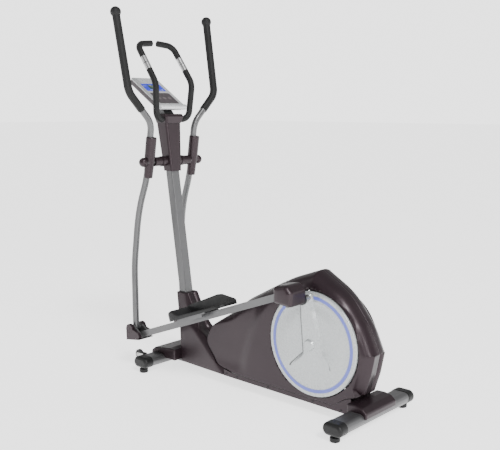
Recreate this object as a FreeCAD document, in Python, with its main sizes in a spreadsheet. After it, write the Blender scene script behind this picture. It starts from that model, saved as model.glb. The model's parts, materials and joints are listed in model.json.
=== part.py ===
"""Elliptical trainer, rear drive: a parametric FreeCAD document, in millimetres.

+X points to the drive end, -X to where the user faces, -Y to the user's left, +Z up.
The origin is on the floor, under the middle of the machine's box.
"""
import FreeCAD, Part
import math
import os

from FreeCAD import Placement, Rotation, Vector

# Driving dimensions, one spreadsheet cell each.
SIZES = {
    # floor frame
    "front_foot_x": -510, "rear_foot_x": 635, "front_half_span": 212, "rear_half_span": 266,
    "stabilizer_width": 88, "stabilizer_height": 48, "stabilizer_mid": 50, "tube_wall": 2,
    "rail_width": 60, "rail_height": 33, "rail_bottom": 37, "foot_radius": 20, "foot_inset": 26,
    "stem_radius": 5, "stem_fit": 0.08, "foot_disc_height": 19,
    "wheel_radius": 22, "wheel_width": 18, "wheel_gap": 27, "wheel_span": 150, "wheel_mid": 66,
    "wheel_axle_radius": 4, "running_fit": 0.06,
    # mast and pivot
    "mast_depth": 44, "mast_width": 50, "mast_corner": 7, "mast_lean": 8.7, "mast_foot": 75,
    "mast_length": 1093, "cap_length": 46, "pivot_x": -504, "pivot_z": 990, "pivot_radius": 9.5,
    "pivot_half": 158, "arm_span": 137, "collar_radius": 21.5, "collar_end": 112,
    # crank and drive
    "crank_x": 397, "crank_z": 292, "crank_radius": 191, "disc_radius": 217, "disc_gap": 4,
    "disc_face": 78, "disc_dome": 83, "disc_back": 64, "ring_inner": 187, "ring_outer": 201,
    "axle_radius": 10, "bearing_radius": 23, "bearing_width": 12, "shell_radius": 29, "shell_half": 34,
    "pin_plane": 115, "pin_gap": 0.5, "boss_radius": 15, "crank_bar": 30,
    "pulley_radius": 105, "pulley_width": 14, "pulley_y": 45, "flywheel_x": 205, "flywheel_z": 228,
    "flywheel_radius": 115, "flywheel_width": 28, "small_pulley_radius": 21, "belt_thickness": 3,
    "flywheel_axle_radius": 8,
    # swing arms and pedals
    "joint_x": -597, "joint_z": 196, "joint_span": 155, "arm_tube": 30, "arm_wall": 2,
    "grip_tube": 36, "ball_radius": 24, "joint_bolt_radius": 7, "joint_hub_radius": 14,
    "joint_hub_half": 19, "joint_cap_radius": 22, "joint_half": 44,
    "pedal_tube": 30, "pedal_front_drop": 44, "pedal_rear_rise": 38, "pedal_rear_span": 178,
    "hub_radius": 17, "hub_outer": 217, "tray_front_x": -290, "tray_length": 350,
    "tray_inner": 117, "tray_outer": 233, "tray_lift": 5, "tray_base": 6,
    # shrouds
    "shroud_half": 70, "shroud_round": 34, "shell_wall": 3, "skirt_half": 70,
    # handlebar and console
    "bar_tube": 22, "bar_grip": 29, "console_x": -489, "console_z": 1241, "console_tilt": 33,
    "console_length": 246, "console_half": 81, "console_depth": 26, "console_roll": 12.5,
    "key_travel": 1.5,
}

SHEET = "Sizes"
Y_AXIS = Vector(0, 1, 0)
Z_AXIS = Vector(0, 0, 1)
LEFT = -1
RIGHT = 1
SIDES = (("left", LEFT), ("right", RIGHT))
ALONG_Y = Rotation(Vector(1, 0, 0), -90)        # turns a part's Z axis to +Y

doc = FreeCAD.newDocument("EllipticalTrainer")
parts = []                                       # the sub-parts, in the order they are made


# ---------------------------------------------------------------- sheet and helpers

def make_sheet():
    """Put every driving dimension in a cell with its alias."""
    sheet = doc.addObject("Spreadsheet::Sheet", SHEET)
    for row, (word, value) in enumerate(SIZES.items(), start=1):
        sheet.set(f"A{row}", word)
        sheet.set(f"B{row}", str(value))
        sheet.setAlias(f"B{row}", word)
    doc.recompute()
    return sheet


sheet = make_sheet()


def size(word):
    """The number in the sheet's cell of that name."""
    return float(sheet.get(word))


def bind(item, **cells):
    """Bind properties to sheet cells: bind(box, Length='2 * {front_half_span}')."""
    for name, text in cells.items():
        item.setExpression(name, text.replace("{", SHEET + ".").replace("}", ""))
    return item


def keep(item, label):
    """Register an object as the sub-part of that name."""
    item.Label = label
    parts.append(item)
    return item


def primitive(kind, place=None, **cells):
    """A Part primitive bound to the sheet, at a placement."""
    item = doc.addObject("Part::" + kind, kind)
    if place is not None:
        item.Placement = place
    return bind(item, **cells)


def boolean(kind, base, tool):
    """A Part::Cut, Fuse or Common of two objects."""
    item = doc.addObject("Part::" + kind, kind)
    item.Base = base
    item.Tool = tool
    return item


def across(x, y, z):
    """A placement at a point, with the Z axis turned along +Y."""
    return Placement(Vector(x, y, z), ALONG_Y)


def feature(label, shape):
    """A sub-part whose shape the code works out from the sheet."""
    item = doc.addObject("Part::Feature", label)
    item.Shape = shape
    item.Placement = shape.Placement
    return keep(item, label)


def outline(corners, closed=True):
    """A wire through (point, radius) corners, each rounded by an arc of that radius."""
    count = len(corners)
    points = [Vector(*corner[0]) for corner in corners]
    ends = []
    for i, (point, radius) in enumerate(zip(points, [corner[1] for corner in corners])):
        if radius == 0 or (not closed and i in (0, count - 1)):
            ends.append((point, None, point))
            continue
        back = (points[i - 1] - point).normalize()
        ahead = (points[(i + 1) % count] - point).normalize()
        half = back.getAngle(ahead) / 2
        reach = radius / math.tan(half)
        middle = (back + ahead).normalize()
        apex = point + middle * (radius / math.sin(half) - radius)
        ends.append((point + back * reach, apex, point + ahead * reach))
    edges = []
    for i, (start, apex, end) in enumerate(ends):
        if apex is not None:
            edges.append(Part.Arc(start, apex, end).toShape())
        if i + 1 < count or closed:
            following = ends[(i + 1) % count][0]
            if end.distanceToPoint(following) > 1e-6:
                edges.append(Part.LineSegment(end, following).toShape())
    return Part.Wire(edges)


def side_outline(corners):
    """A closed outline in the XZ plane from (x, z, radius) corners."""
    return outline([((x, 0, z), radius) for x, z, radius in corners])


def slab(wire, low, high):
    """The prism of an XZ outline from y = low to y = high."""
    face = Part.Face(wire)
    face.translate(Vector(0, low, 0))
    return face.extrude(Vector(0, high - low, 0))


def inset(wire, distance):
    """The outline moved inwards by a distance."""
    return wire.makeOffset2D(-distance, 2)


def plan_section(x_low, x_high, half, z, radius, flare=0):
    """A rounded rectangle in a horizontal plane, for lofts, wider by a flare each side at its +X end."""
    wide = half + flare
    return outline([((x_low, -half, z), radius), ((x_high, -wide, z), radius),
                    ((x_high, wide, z), radius), ((x_low, half, z), radius)])


def loft(sections):
    """A closed solid through plan sections."""
    return Part.makeLoft([plan_section(*section) for section in sections], True, True)


def rod(radius, start, end):
    """A round bar between two points."""
    return Part.makeCylinder(radius, start.distanceToPoint(end), start, end - start)


def pipe(corners, radius):
    """A round bar along a path of (point, bend radius) corners."""
    path = outline(corners, closed=False)
    start = Vector(*corners[0][0])
    ahead = Vector(*corners[1][0]) - start
    ring = Part.Wire([Part.makeCircle(radius, start, ahead)])
    return path.makePipeShell([ring], True, False)


def hollow_pipe(corners, radius, wall):
    """A bent round tube."""
    return pipe(corners, radius).cut(pipe(corners, radius - wall))


def mirrored(shape, side):
    """Shapes are drawn on the left; the right one is their mirror image."""
    if side == LEFT:
        return shape
    return shape.mirror(Vector(0, 0, 0), Y_AXIS)


def union(shapes):
    """One solid from touching shapes."""
    return shapes[0].multiFuse(shapes[1:]).removeSplitter()


def made(name, side):
    """The shape of a left or right sub-part that is already in the document."""
    label = name + ("_left" if side == LEFT else "_right")
    return next(item for item in parts if item.Label == label).Shape


def sketch_on(body, role, name):
    """A sketch attached to one of the body's own origin planes."""
    plane = next(item for item in body.Origin.OriginFeatures if item.Role == role)
    sketch = body.newObject("Sketcher::SketchObject", name)
    sketch.AttachmentSupport = (plane, [""])
    sketch.MapMode = "FlatFace"
    return sketch


def draw(sketch, wire):
    """Copy a flat wire's lines and arcs into a sketch."""
    for edge in wire.Edges:
        curve = edge.Curve
        if isinstance(curve, Part.Circle):
            if edge.Closed:
                sketch.addGeometry(curve, False)
            else:
                sketch.addGeometry(Part.ArcOfCircle(curve, edge.FirstParameter, edge.LastParameter), False)
        else:
            sketch.addGeometry(Part.LineSegment(edge.Vertexes[0].Point, edge.Vertexes[-1].Point), False)


def flat_rectangle(x_low, y_low, x_high, y_high, radius):
    """A rounded rectangle in a sketch's own plane."""
    return outline([((x_low, y_low, 0), radius), ((x_high, y_low, 0), radius),
                    ((x_high, y_high, 0), radius), ((x_low, y_high, 0), radius)])


def stadium(width, height):
    """An outline with half-round ends, about the sketch's origin."""
    return flat_rectangle(-width / 2, -height / 2, width / 2, height / 2, height / 2 - 0.01)


def padded_body(label, role, wires, length, place, midplane=False):
    """A PartDesign body with one sketch padded to a length bound to the sheet."""
    body = doc.addObject("PartDesign::Body", label)
    sketch = sketch_on(body, role, label + "_sketch")
    for wire in wires:
        draw(sketch, wire)
    pad = body.newObject("PartDesign::Pad", label + "_pad")
    pad.Profile = sketch
    pad.Midplane = midplane
    bind(pad, Length=length)
    sketch.Visibility = False
    body.Placement = place
    doc.recompute()
    return body


# ---------------------------------------------------------------- places worked out from the sheet

LEAN = math.radians(size("mast_lean"))
PIVOT = Vector(size("pivot_x"), 0, size("pivot_z"))
CRANK = Vector(size("crank_x"), 0, size("crank_z"))
JOINT = Vector(size("joint_x"), 0, size("joint_z"))
FLYWHEEL = Vector(size("flywheel_x"), 0, size("flywheel_z"))


def mast_x(z):
    """The x of the mast's centre line at a height."""
    return size("pivot_x") - (z - size("pivot_z")) * math.tan(LEAN)


def crank_pin(side):
    """The crank pin's centre: the cranks stand square to the line from lower joint to crank axle."""
    line = (CRANK - JOINT).normalize()
    square = Vector(-line.z, 0, line.x)
    return CRANK + square * (-side * size("crank_radius"))


def pedal_line(side):
    """Start, end and slope of a pedal arm's centre line, front to rear."""
    front = JOINT - Vector(0, 0, size("pedal_front_drop"))
    rear = crank_pin(side) + Vector(0, 0, size("pedal_rear_rise"))
    front.y = -size("joint_span")
    rear.y = -size("pedal_rear_span")
    return front, rear


# ---------------------------------------------------------------- floor frame

def main_frame():
    """The welded frame: rail, saddles, mast socket, crank tower and flywheel fork."""
    half = size("rail_width") / 2
    bottom = size("rail_bottom")
    top = bottom + size("rail_height")
    wall = size("tube_wall")
    front = size("front_foot_x")
    rear = size("rear_foot_x")
    rail = Part.makeBox(rear - front, 2 * half, size("rail_height"), Vector(front, -half, bottom))
    hollow = Part.makeBox(rear - front, 2 * (half - wall), size("rail_height") - 2 * wall,
                          Vector(front, wall - half, bottom + wall))
    frame = union([rail.cut(hollow), mast_socket(top), crank_tower(top), flywheel_fork(top)])
    for x in (front, rear):
        frame = frame.cut(oval_bar(x, -half - 5, half + 5, 0))
    return feature("main_frame", frame)


def oval_bar(x, y_low, y_high, gap):
    """The outside of a stabilizer tube between two y values, grown by a gap."""
    wire = stadium(size("stabilizer_width") + 2 * gap, size("stabilizer_height") + 2 * gap)
    wire.rotate(Vector(0, 0, 0), Vector(1, 0, 0), 90)
    wire.translate(Vector(x, y_low, size("stabilizer_mid")))
    return Part.Face(wire).extrude(Vector(0, y_high - y_low, 0))


def mast_socket(rail_top):
    """A block on the rail that plugs into the mast's foot."""
    inner = size("tube_wall") + 0.5
    depth = size("mast_depth") - 2 * inner
    width = size("mast_width") - 2 * inner
    section = flat_rectangle(-depth / 2, -width / 2, depth / 2, width / 2, size("mast_corner"))
    block = Part.Face(section).extrude(Vector(0, 0, 260))
    block.rotate(Vector(0, 0, 0), Y_AXIS, -size("mast_lean"))
    low = rail_top - 20
    block.translate(Vector(mast_x(low), 0, low))
    below = Part.makeBox(200, 200, 60, Vector(mast_x(low) - 100, -100, rail_top - 61))
    return block.cut(below)


def crank_tower(rail_top):
    """The bearing shell on two upright plates."""
    reach = size("shell_half")
    shell = rod(size("shell_radius"), CRANK - Vector(0, reach, 0), CRANK + Vector(0, reach, 0))
    bore = rod(size("bearing_radius"), CRANK + Vector(0, -60, 0), CRANK + Vector(0, 60, 0))
    foot = 70
    top = CRANK.z - 8
    legs = []
    for y in (-30, 22):
        wire = side_outline([(CRANK.x - foot, rail_top, 0), (CRANK.x + foot, rail_top, 0),
                             (CRANK.x + 24, top, 0), (CRANK.x - 24, top, 0)])
        legs.append(slab(wire, y, y + 8))
    return union([shell] + legs).cut(bore)


def flywheel_fork(rail_top):
    """Two upright plates on the rail, with the fixed axle that the flywheel runs on."""
    plates = []
    gap = size("flywheel_width") / 2 + 8
    right = size("pulley_y") + size("pulley_width") / 2 + 3
    top = FLYWHEEL.z + 18
    for low in (-gap - 6, right):
        wire = side_outline([(FLYWHEEL.x - 45, rail_top - 6, 0), (FLYWHEEL.x + 45, rail_top - 6, 0),
                             (FLYWHEEL.x + 18, top, 10), (FLYWHEEL.x - 18, top, 10)])
        plates.append(slab(wire, low, low + 6))
    base = Part.makeBox(90, right + gap + 12, 6, Vector(FLYWHEEL.x - 45, -gap - 6, rail_top - 6))
    axle = rod(size("flywheel_axle_radius"), FLYWHEEL - Vector(0, gap + 6, 0),
               FLYWHEEL + Vector(0, right + 6, 0))
    return union(plates + [base, axle])


def stabilizer(label, x_word, span_word):
    """A floor tube of oval section, across the machine."""
    width = size("stabilizer_width")
    height = size("stabilizer_height")
    wall = size("tube_wall")
    wires = [stadium(width, height), stadium(width - 2 * wall, height - 2 * wall)]
    place = Placement(Vector(size(x_word), 0, size("stabilizer_mid")), Rotation())
    keep(padded_body(label, "XZ_Plane", wires, "2 * {" + span_word + "} - 70", place, True), label)


CAP_SKIN = 1.8


def foot_places():
    """Name, x, y and side of each levelling foot."""
    places = []
    for end, x_word, span_word in (("front", "front_foot_x", "front_half_span"),
                                   ("rear", "rear_foot_x", "rear_half_span")):
        for name, side in SIDES:
            y = side * (size(span_word) - size("foot_inset"))
            places.append((f"{end}_foot_{name}", size(x_word), y, side))
    return places


def stabilizer_end_caps():
    """Rounded caps over the tube ends, each bored for a foot's stem."""
    caps = []
    bottom = size("stabilizer_mid") - size("stabilizer_height") / 2 - CAP_SKIN
    for _name, x, y, side in foot_places():
        end = side * (abs(y) + size("foot_inset"))
        start = end - side * size("cap_length")
        cap = oval_bar(x, start, end, CAP_SKIN)
        tip = [edge for edge in cap.Edges
               if all(abs(vertex.Point.y - end) < 0.01 for vertex in edge.Vertexes)]
        cap = cap.makeFillet(14, tip)
        cap = cap.cut(oval_bar(x, start - side, start + side * 22, 0))
        bore = size("stem_radius") + size("stem_fit")
        caps.append(cap.cut(Part.makeCylinder(bore, 34, Vector(x, y, bottom - 1))))
    return feature("stabilizer_end_caps", Part.makeCompound(caps))


def levelling_foot(label, x, y):
    """A knurled floor disc on a stem that screws into the end cap."""
    disc_height = size("foot_disc_height")
    disc = Part.makeCylinder(size("foot_radius"), disc_height, Vector(x, y, 0))
    disc = disc.makeFillet(3, [disc.Edges[0], disc.Edges[2]])
    stem = Part.makeCylinder(size("stem_radius"), 46 - disc_height, Vector(x, y, disc_height - 2))
    grooves = []
    reach = size("foot_radius") + 1
    for step in range(12):
        angle = math.radians(step * 30)
        spot = Vector(x + math.cos(angle) * reach, y + math.sin(angle) * reach, 5)
        grooves.append(Part.makeCylinder(2.2, disc_height - 9, spot))
    feature(label, disc.cut(Part.makeCompound(grooves)).fuse(stem).removeSplitter())


def wheel_axle(side):
    """The x, y and z of a transport wheel's axle."""
    x = size("front_foot_x") - size("stabilizer_width") / 2 - size("wheel_gap")
    return Vector(x, side * size("wheel_span"), size("wheel_mid"))


def wheel_brackets():
    """A two-eared bracket with its axle for each transport wheel."""
    shapes = []
    ear_gap = size("wheel_width") / 2 + 1
    for _name, side in SIDES:
        centre = wheel_axle(side)
        tube_front = size("front_foot_x") - size("stabilizer_width") / 2
        pieces = []
        for low in (-ear_gap - 3, ear_gap):
            wire = side_outline([(centre.x - 8, centre.z - 8, 7), (tube_front + 12, centre.z - 8, 0),
                                 (tube_front + 12, centre.z + 10, 3), (centre.x - 8, centre.z + 8, 7)])
            pieces.append(slab(wire, centre.y + low, centre.y + low + 3))
        pieces.append(rod(size("wheel_axle_radius"), centre + Vector(0, -ear_gap - 5, 0),
                          centre + Vector(0, ear_gap + 5, 0)))
        tube = oval_bar(size("front_foot_x"), centre.y - 20, centre.y + 20, 0)
        shapes.append(union(pieces).cut(tube))
    return feature("wheel_brackets", Part.makeCompound(shapes))


def transport_wheel(label, side):
    """A small tyre-edged wheel that runs on the bracket's axle."""
    centre = wheel_axle(side)
    half = size("wheel_width") / 2
    disc = rod(size("wheel_radius"), centre - Vector(0, half, 0), centre + Vector(0, half, 0))
    disc = disc.makeFillet(4, [disc.Edges[0], disc.Edges[2]])
    dish = rod(size("wheel_radius") - 9, centre - Vector(0, half, 0), centre - Vector(0, half - 3, 0))
    dish_far = rod(size("wheel_radius") - 9, centre + Vector(0, half - 3, 0), centre + Vector(0, half, 0))
    bore = rod(size("wheel_axle_radius") + size("running_fit"), centre - Vector(0, half, 0),
               centre + Vector(0, half, 0))
    feature(label, disc.cut(dish).cut(dish_far).cut(bore))


# The saddles' side views.
FRONT_SADDLE = [(-560, 54, 6), (-560, 78, 14), (-536, 96, 18), (-440, 108, 10), (-399, 108, 4), (-399, 54, 4)]
REAR_SADDLE = [(686, 54, 6), (686, 78, 14), (664, 96, 18), (632, 102, 10), (594, 100, 4), (594, 54, 4)]


def bracket_cover(label, corners, half, x_word, notch):
    """A moulded saddle over the middle of a stabilizer, open where the frame enters."""
    wall = size("shell_wall")
    wire = side_outline(corners)
    outer = slab(wire, -half, half)
    ends = [edge for edge in outer.Edges if edge.BoundBox.YLength < 0.01 and edge.BoundBox.ZMin > 62]
    outer = outer.makeFillet(6, ends)
    inner = slab(inset(wire, wall), wall - half, half - wall)
    shape = outer.cut(inner).cut(oval_bar(size(x_word), -half - 5, half + 5, 0.4))
    x_low, x_high, z_high = notch
    gate = Part.makeBox(x_high - x_low, 62, z_high, Vector(x_low, -31, 0))
    return feature(label, shape.cut(gate))


# ---------------------------------------------------------------- shrouds

FLOOR_HALF = 64                                  # half width of the shroud's open underside

# The shroud's side view, counted from the front of its lower edge: the nose, the back and the neck.
NOSE = [(-47, 68, 60), (-150, 88, 60), (-228, 180, 45), (-190, 256, 0)]
BACK = [(2, 402, 400), (253, 538, 500), (392, 590, 12), (530, 512, 300), (630, 384, 260), (672, 290, 14),
        (655, 205, 100)]
NECK = [(628, 122, 8), (560, 98, 30), (500, 58, 40)]


def shroud_outline():
    """The side view of the drive shroud."""
    return side_outline(NOSE + BACK + NECK)


def back_outline():
    """The same back line, run on past the nose and the neck, so that its whole rim can be rounded."""
    return side_outline([(600, 30, 0), (NOSE_X, 30, 0), (NOSE_X, 150, 0)] + BACK)


def trim_outline():
    """The same nose and neck, run on past the back line."""
    return side_outline(NOSE[:3] + [(-150, 336, 0), (-150, 700, 0), (760, 700, 0), (760, 160, 0)] + NECK)


CREASE_X = 100                                   # where the nose begins to narrow, at the crank's height
CREASE_TILT = 30                                 # degrees that this crease leans back
NOSE_X = -330                                    # a line ahead of the nose, level with the crank
NOSE_NARROWING = 13                              # how much nearer the middle each side would be there


def shroud_form(margin):
    """A shroud half, shrunk by a margin: rounded along its back, and narrower at the nose."""
    half = size("shroud_half") - margin
    radius = size("shroud_round") - margin
    back = back_outline()
    trim = trim_outline()
    if margin > 0:
        back = inset(back, margin)
        trim = inset(trim, margin)
    form = slab(back, -half, 0)
    rim = [edge for edge in form.Edges
           if all(abs(vertex.Point.y + half) < 0.01 for vertex in edge.Vertexes)]
    form = form.makeFillet(radius, rim).common(slab(trim, -half - 1, 0))
    nose_half = half - NOSE_NARROWING
    facet = Part.Face(Part.makePolygon([
        Vector(NOSE_X, -nose_half, 0), Vector(CREASE_X, -half - 0.01, 0),
        Vector(CREASE_X, -half - 60, 0), Vector(NOSE_X, -half - 60, 0), Vector(NOSE_X, -nose_half, 0)]))
    wedge = facet.extrude(Vector(0, 0, 900))
    wedge.translate(Vector(0, 0, -200))
    wedge.rotate(Vector(CREASE_X, 0, CRANK.z), Y_AXIS, CREASE_TILT)
    return form.cut(wedge)


def side_shroud(label, side):
    """Half of the drive shroud: a thin shell with a round opening for the crank disc."""
    opening = rod(size("disc_radius") + size("disc_gap"), CRANK - Vector(0, 200, 0),
                  CRANK - Vector(0, 50, 0))
    floor = Part.makeBox(600, 2 * FLOOR_HALF, 60, Vector(-60, -FLOOR_HALF, 40))
    shell = shroud_form(0).cut(shroud_form(size("shell_wall"))).cut(opening).cut(floor)
    feature(label, mirrored(shell, side))


def front_cover():
    """The boot around the mast's foot, down to the floor frame."""
    wall = size("shell_wall")
    sections = [(-436, -364, 38, 376, 8, 2), (-412, -282, 44, 225, 12, 12), (-396, -130, 50, 112, 14, 19),
                (-394, -100, 52, 88, 14, 18), (-394, -100, 52, 47, 14, 18)]
    outer = loft(sections)
    inner = loft([(low + wall, high - wall, half - wall, z, radius - wall, flare)
                  for low, high, half, z, radius, flare in sections])
    inner.translate(Vector(0, 0, -wall))
    shell = outer.cut(inner).cut(mast_prism(0.3))
    body = slab(shroud_outline().makeOffset2D(0.8), -160, 160)
    rail = Part.makeBox(560, size("rail_width") + 1, size("rail_height") + 5,
                        Vector(-600, -size("rail_width") / 2 - 0.5, size("rail_bottom") - 4))
    return feature("front_cover", shell.cut(body).cut(rail))


INLET = Vector(-60, -size("skirt_half"), 58)     # drawn on the left, fitted on the right
INLET_RADIUS = 6


def skirt_strips():
    """The strips that close the shroud's lower edge on both sides."""
    half = size("skirt_half")
    wall = size("shell_wall")
    strip = side_outline([(-98, 48, 0), (560, 38, 0), (588, 56, 0), (588, 104, 0), (540, 120, 0),
                          (-98, 120, 0)])
    body = slab(shroud_outline().makeOffset2D(0.8), -160, 160)
    shapes = []
    for _name, side in SIDES:
        web = slab(strip, -half, wall - half)
        if side == RIGHT:
            web = web.cut(rod(INLET_RADIUS, INLET - Vector(0, 9, 0), INLET + Vector(0, 9, 0)))
        lip = slab(side_outline([(-98, 48, 0), (560, 38, 0), (560, 38 + wall, 0), (-98, 48 + wall, 0)]),
                   -half, 25 - half)
        shapes.append(mirrored(union([web, lip]).cut(body), side))
    return feature("skirt_strips", Part.makeCompound(shapes))


def shroud_screws():
    """The screws that hold the skirt strips."""
    heads = []
    half = size("skirt_half")
    for _name, side in SIDES:
        for x in (-84, -20, 160, 400, 540):
            z = 59 - (x + 84) * 0.017
            start = Vector(x, -half, z)
            heads.append(mirrored(rod(4, start, start - Vector(0, 1.6, 0)), side))
    return feature("shroud_screws", Part.makeCompound(heads))


# ---------------------------------------------------------------- mast, pivot, handlebar, console

def mast_prism(gap):
    """The mast's outside, with a gap all round."""
    depth = size("mast_depth") + 2 * gap
    width = size("mast_width") + 2 * gap
    wire = flat_rectangle(-depth / 2, -width / 2, depth / 2, width / 2, size("mast_corner"))
    prism = Part.Face(wire).extrude(Vector(0, 0, size("mast_length")))
    prism.Placement = mast_place()
    return prism


def mast_place():
    """The mast's foot, turned to its lean."""
    low = size("mast_foot")
    return Placement(Vector(mast_x(low), 0, low), Rotation(Y_AXIS, -size("mast_lean")))


def mast_tube():
    """The post: a padded box section with a cross hole for the pivot axle."""
    depth = size("mast_depth")
    width = size("mast_width")
    wall = size("tube_wall")
    corner = size("mast_corner")
    wires = [flat_rectangle(-depth / 2, -width / 2, depth / 2, width / 2, corner),
             flat_rectangle(wall - depth / 2, wall - width / 2, depth / 2 - wall, width / 2 - wall,
                            corner - wall)]
    post = padded_body("mast_post", "XY_Plane", wires, "{mast_length}", mast_place())
    hole = primitive("Cylinder", across(PIVOT.x, -60, PIVOT.z), Radius="{pivot_radius}", Height="120")
    keep(boolean("Cut", post, hole), "mast_tube")


def mast_cover():
    """The moulded sleeve round the mast's top, with the pivot passing through."""
    wall = size("shell_wall")
    sections = [(-526, -466, 32, 944, 10), (-556, -484, 47, 1166, 12)]
    outer = loft(sections)
    inner = loft([(low + wall, high - wall, half - wall, z, radius - wall)
                  for low, high, half, z, radius in sections])
    collar = rod(size("collar_radius"), PIVOT - Vector(0, 80, 0), PIVOT + Vector(0, 80, 0))
    return feature("mast_cover", outer.cut(inner).cut(mast_prism(0.3)).cut(collar))


def pivot_axle():
    """The rod through the mast that both swing arms turn on."""
    half = size("pivot_half")
    rod_item = primitive("Cylinder", across(PIVOT.x, -half, PIVOT.z),
                         Radius="{pivot_radius}", Height="2 * {pivot_half}")
    keep(rod_item, "pivot_axle")


def pivot_collars():
    """The moulded collars between the mast and each swing arm."""
    shapes = []
    near = size("mast_width") / 2 + 0.5
    for _name, side in SIDES:
        outer = rod(size("collar_radius"), PIVOT - Vector(0, near, 0),
                    PIVOT - Vector(0, size("collar_end"), 0))
        band = rod(size("collar_radius") + 2.5, PIVOT - Vector(0, 52, 0), PIVOT - Vector(0, 68, 0))
        bore = rod(size("pivot_radius"), PIVOT, PIVOT - Vector(0, 150, 0))
        shapes.append(mirrored(union([outer, band]).cut(bore), side))
    return feature("pivot_collars", Part.makeCompound(shapes))


BAR_ROOT = (-506, 0, 1184)
BAR_ROOT_BEND = 90
BAR_PATH = [(BAR_ROOT, 0), ((-491, -102, 1184), 42), ((-478, -114, 1350), 75), ((-607, -110, 1528), 40),
            ((-613, -24, 1536), 0)]


def unit(vector):
    """A copy of the vector, one millimetre long."""
    return Vector(vector).normalize()


def along(start, end, share):
    """A point part of the way from one to the other."""
    return Vector(*start) + (Vector(*end) - Vector(*start)) * share


def bar_route():
    """The whole handlebar's line, from the left end through the clamp to the right end."""
    right = [((x, -y, z), radius) for (x, y, z), radius in BAR_PATH[1:]]
    return BAR_PATH[:0:-1] + [(BAR_ROOT, BAR_ROOT_BEND)] + right


def handlebar_tube():
    """The fixed handlebar: one bent tube from end to end, through the clamp."""
    return feature("handlebar_tube", hollow_pipe(bar_route(), size("bar_tube") / 2, size("tube_wall")))


def handlebar_clamp():
    """The head that clamps the handlebar to the mast's top."""
    sections = [(-558, -480, 48, 1166.5, 12), (-562, -472, 60, 1197, 14), (-560, -480, 54, 1209, 12)]
    plug = Part.Face(flat_rectangle(-19, -22, 19, 22, 5)).extrude(Vector(0, 0, 70))
    plug.Placement = mast_place()
    plug.translate(unit(Vector(-math.sin(LEAN), 0, math.cos(LEAN))) * (size("mast_length") - 45))
    head = union([loft(sections), plug])
    return feature("handlebar_clamp", head.cut(pipe(bar_route(), size("bar_tube") / 2)))


def grip_span(start_share, end_share):
    """The straight stretch of the handlebar where the pulse plates sit."""
    upper = BAR_PATH[3][0]
    lower = BAR_PATH[2][0]
    return along(lower, upper, start_share), along(lower, upper, end_share)


PLATE_LOW = 0.34
PLATE_HIGH = 0.66


def handlebar_grips():
    """Foam sleeves above and below the pulse plates on each side, with closed ends."""
    radius = size("bar_grip") / 2
    core = size("bar_tube") / 2
    low_end, high_end = grip_span(PLATE_LOW, PLATE_HIGH)
    first = along(BAR_PATH[0][0], BAR_PATH[1][0], 0.6)
    shapes = []
    lower = [(tuple(first), 0), BAR_PATH[1], BAR_PATH[2], (tuple(low_end), 0)]
    upper = [(tuple(high_end), 0), BAR_PATH[3], BAR_PATH[4]]
    tip = Vector(*BAR_PATH[4][0])
    cap = rod(radius, tip, tip + unit(tip - Vector(*BAR_PATH[3][0])) * 4)
    for path in (lower, upper):
        foam = pipe(path, radius).cut(pipe(path, core))
        if path is upper:
            foam = union([foam, cap])
        shapes += [foam, mirrored(foam, RIGHT)]
    return feature("handlebar_grips", Part.makeCompound(shapes))


def pulse_plates():
    """Two curved metal plates on each side, on a plastic band round the bar."""
    low_end, high_end = grip_span(PLATE_LOW, PLATE_HIGH)
    core = size("bar_tube") / 2
    axis = high_end - low_end
    middle = (low_end + high_end) * 0.5
    shell = rod(size("bar_grip") / 2, low_end, high_end).cut(rod(core, low_end, high_end))
    ahead = unit(axis)
    square = unit(ahead.cross(Y_AXIS))
    beside = square.cross(ahead)
    split = Part.makeBox(axis.Length + 2, 60, 1.2)
    split.Placement = Placement(low_end - ahead - beside * 30 - square * 0.6,
                                Rotation(ahead, beside, square, "XYZ"))
    waist = rod(40, middle - ahead * 1.5, middle + ahead * 1.5)
    plates = shell.cut(split).cut(waist)
    return feature("pulse_plates", Part.makeCompound([plates, mirrored(plates, RIGHT)]))


def console_place():
    """The console's face: local X up the slope, local Z out of the screen."""
    tilt = math.radians(size("console_tilt"))
    up_slope = Vector(-math.cos(tilt), 0, math.sin(tilt))
    out = Vector(math.sin(tilt), 0, math.cos(tilt))
    return Placement(Vector(size("console_x"), 0, size("console_z")),
                     Rotation(up_slope, -Y_AXIS, out, "XYZ"))


WINDOW = (130, -60, 196, 60)                     # along the slope and across, from the console's lower edge
KEY_FIELD = (24, -62, 116, 62)
KEYS = {"key_down": (70, 32), "key_enter": (70, 0), "key_up": (70, -32)}
KEY_RADIUS = 9


def console_back():
    """The console's rear shell."""
    half = size("console_half") - 1
    length = size("console_length")
    depth = size("console_depth")
    wall = size("shell_wall")
    block = Part.Face(flat_rectangle(6, -half, length, half, 14)).extrude(Vector(0, 0, -depth))
    lower = [edge for edge in block.Edges
             if all(abs(vertex.Point.z + depth) < 0.01 for vertex in edge.Vertexes)]
    block = block.makeFillet(10, lower)
    hollow = Part.Face(flat_rectangle(16, wall - half, length - wall, half - wall, 10))
    block = block.cut(hollow.extrude(Vector(0, 0, wall + 3 - depth)))
    roll = Part.makeCylinder(size("console_roll"), 4 * half, Vector(0, -2 * half, 0), Y_AXIS)
    shape = block.cut(roll)
    shape.Placement = console_place()
    return feature("console_back", shape)


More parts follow.
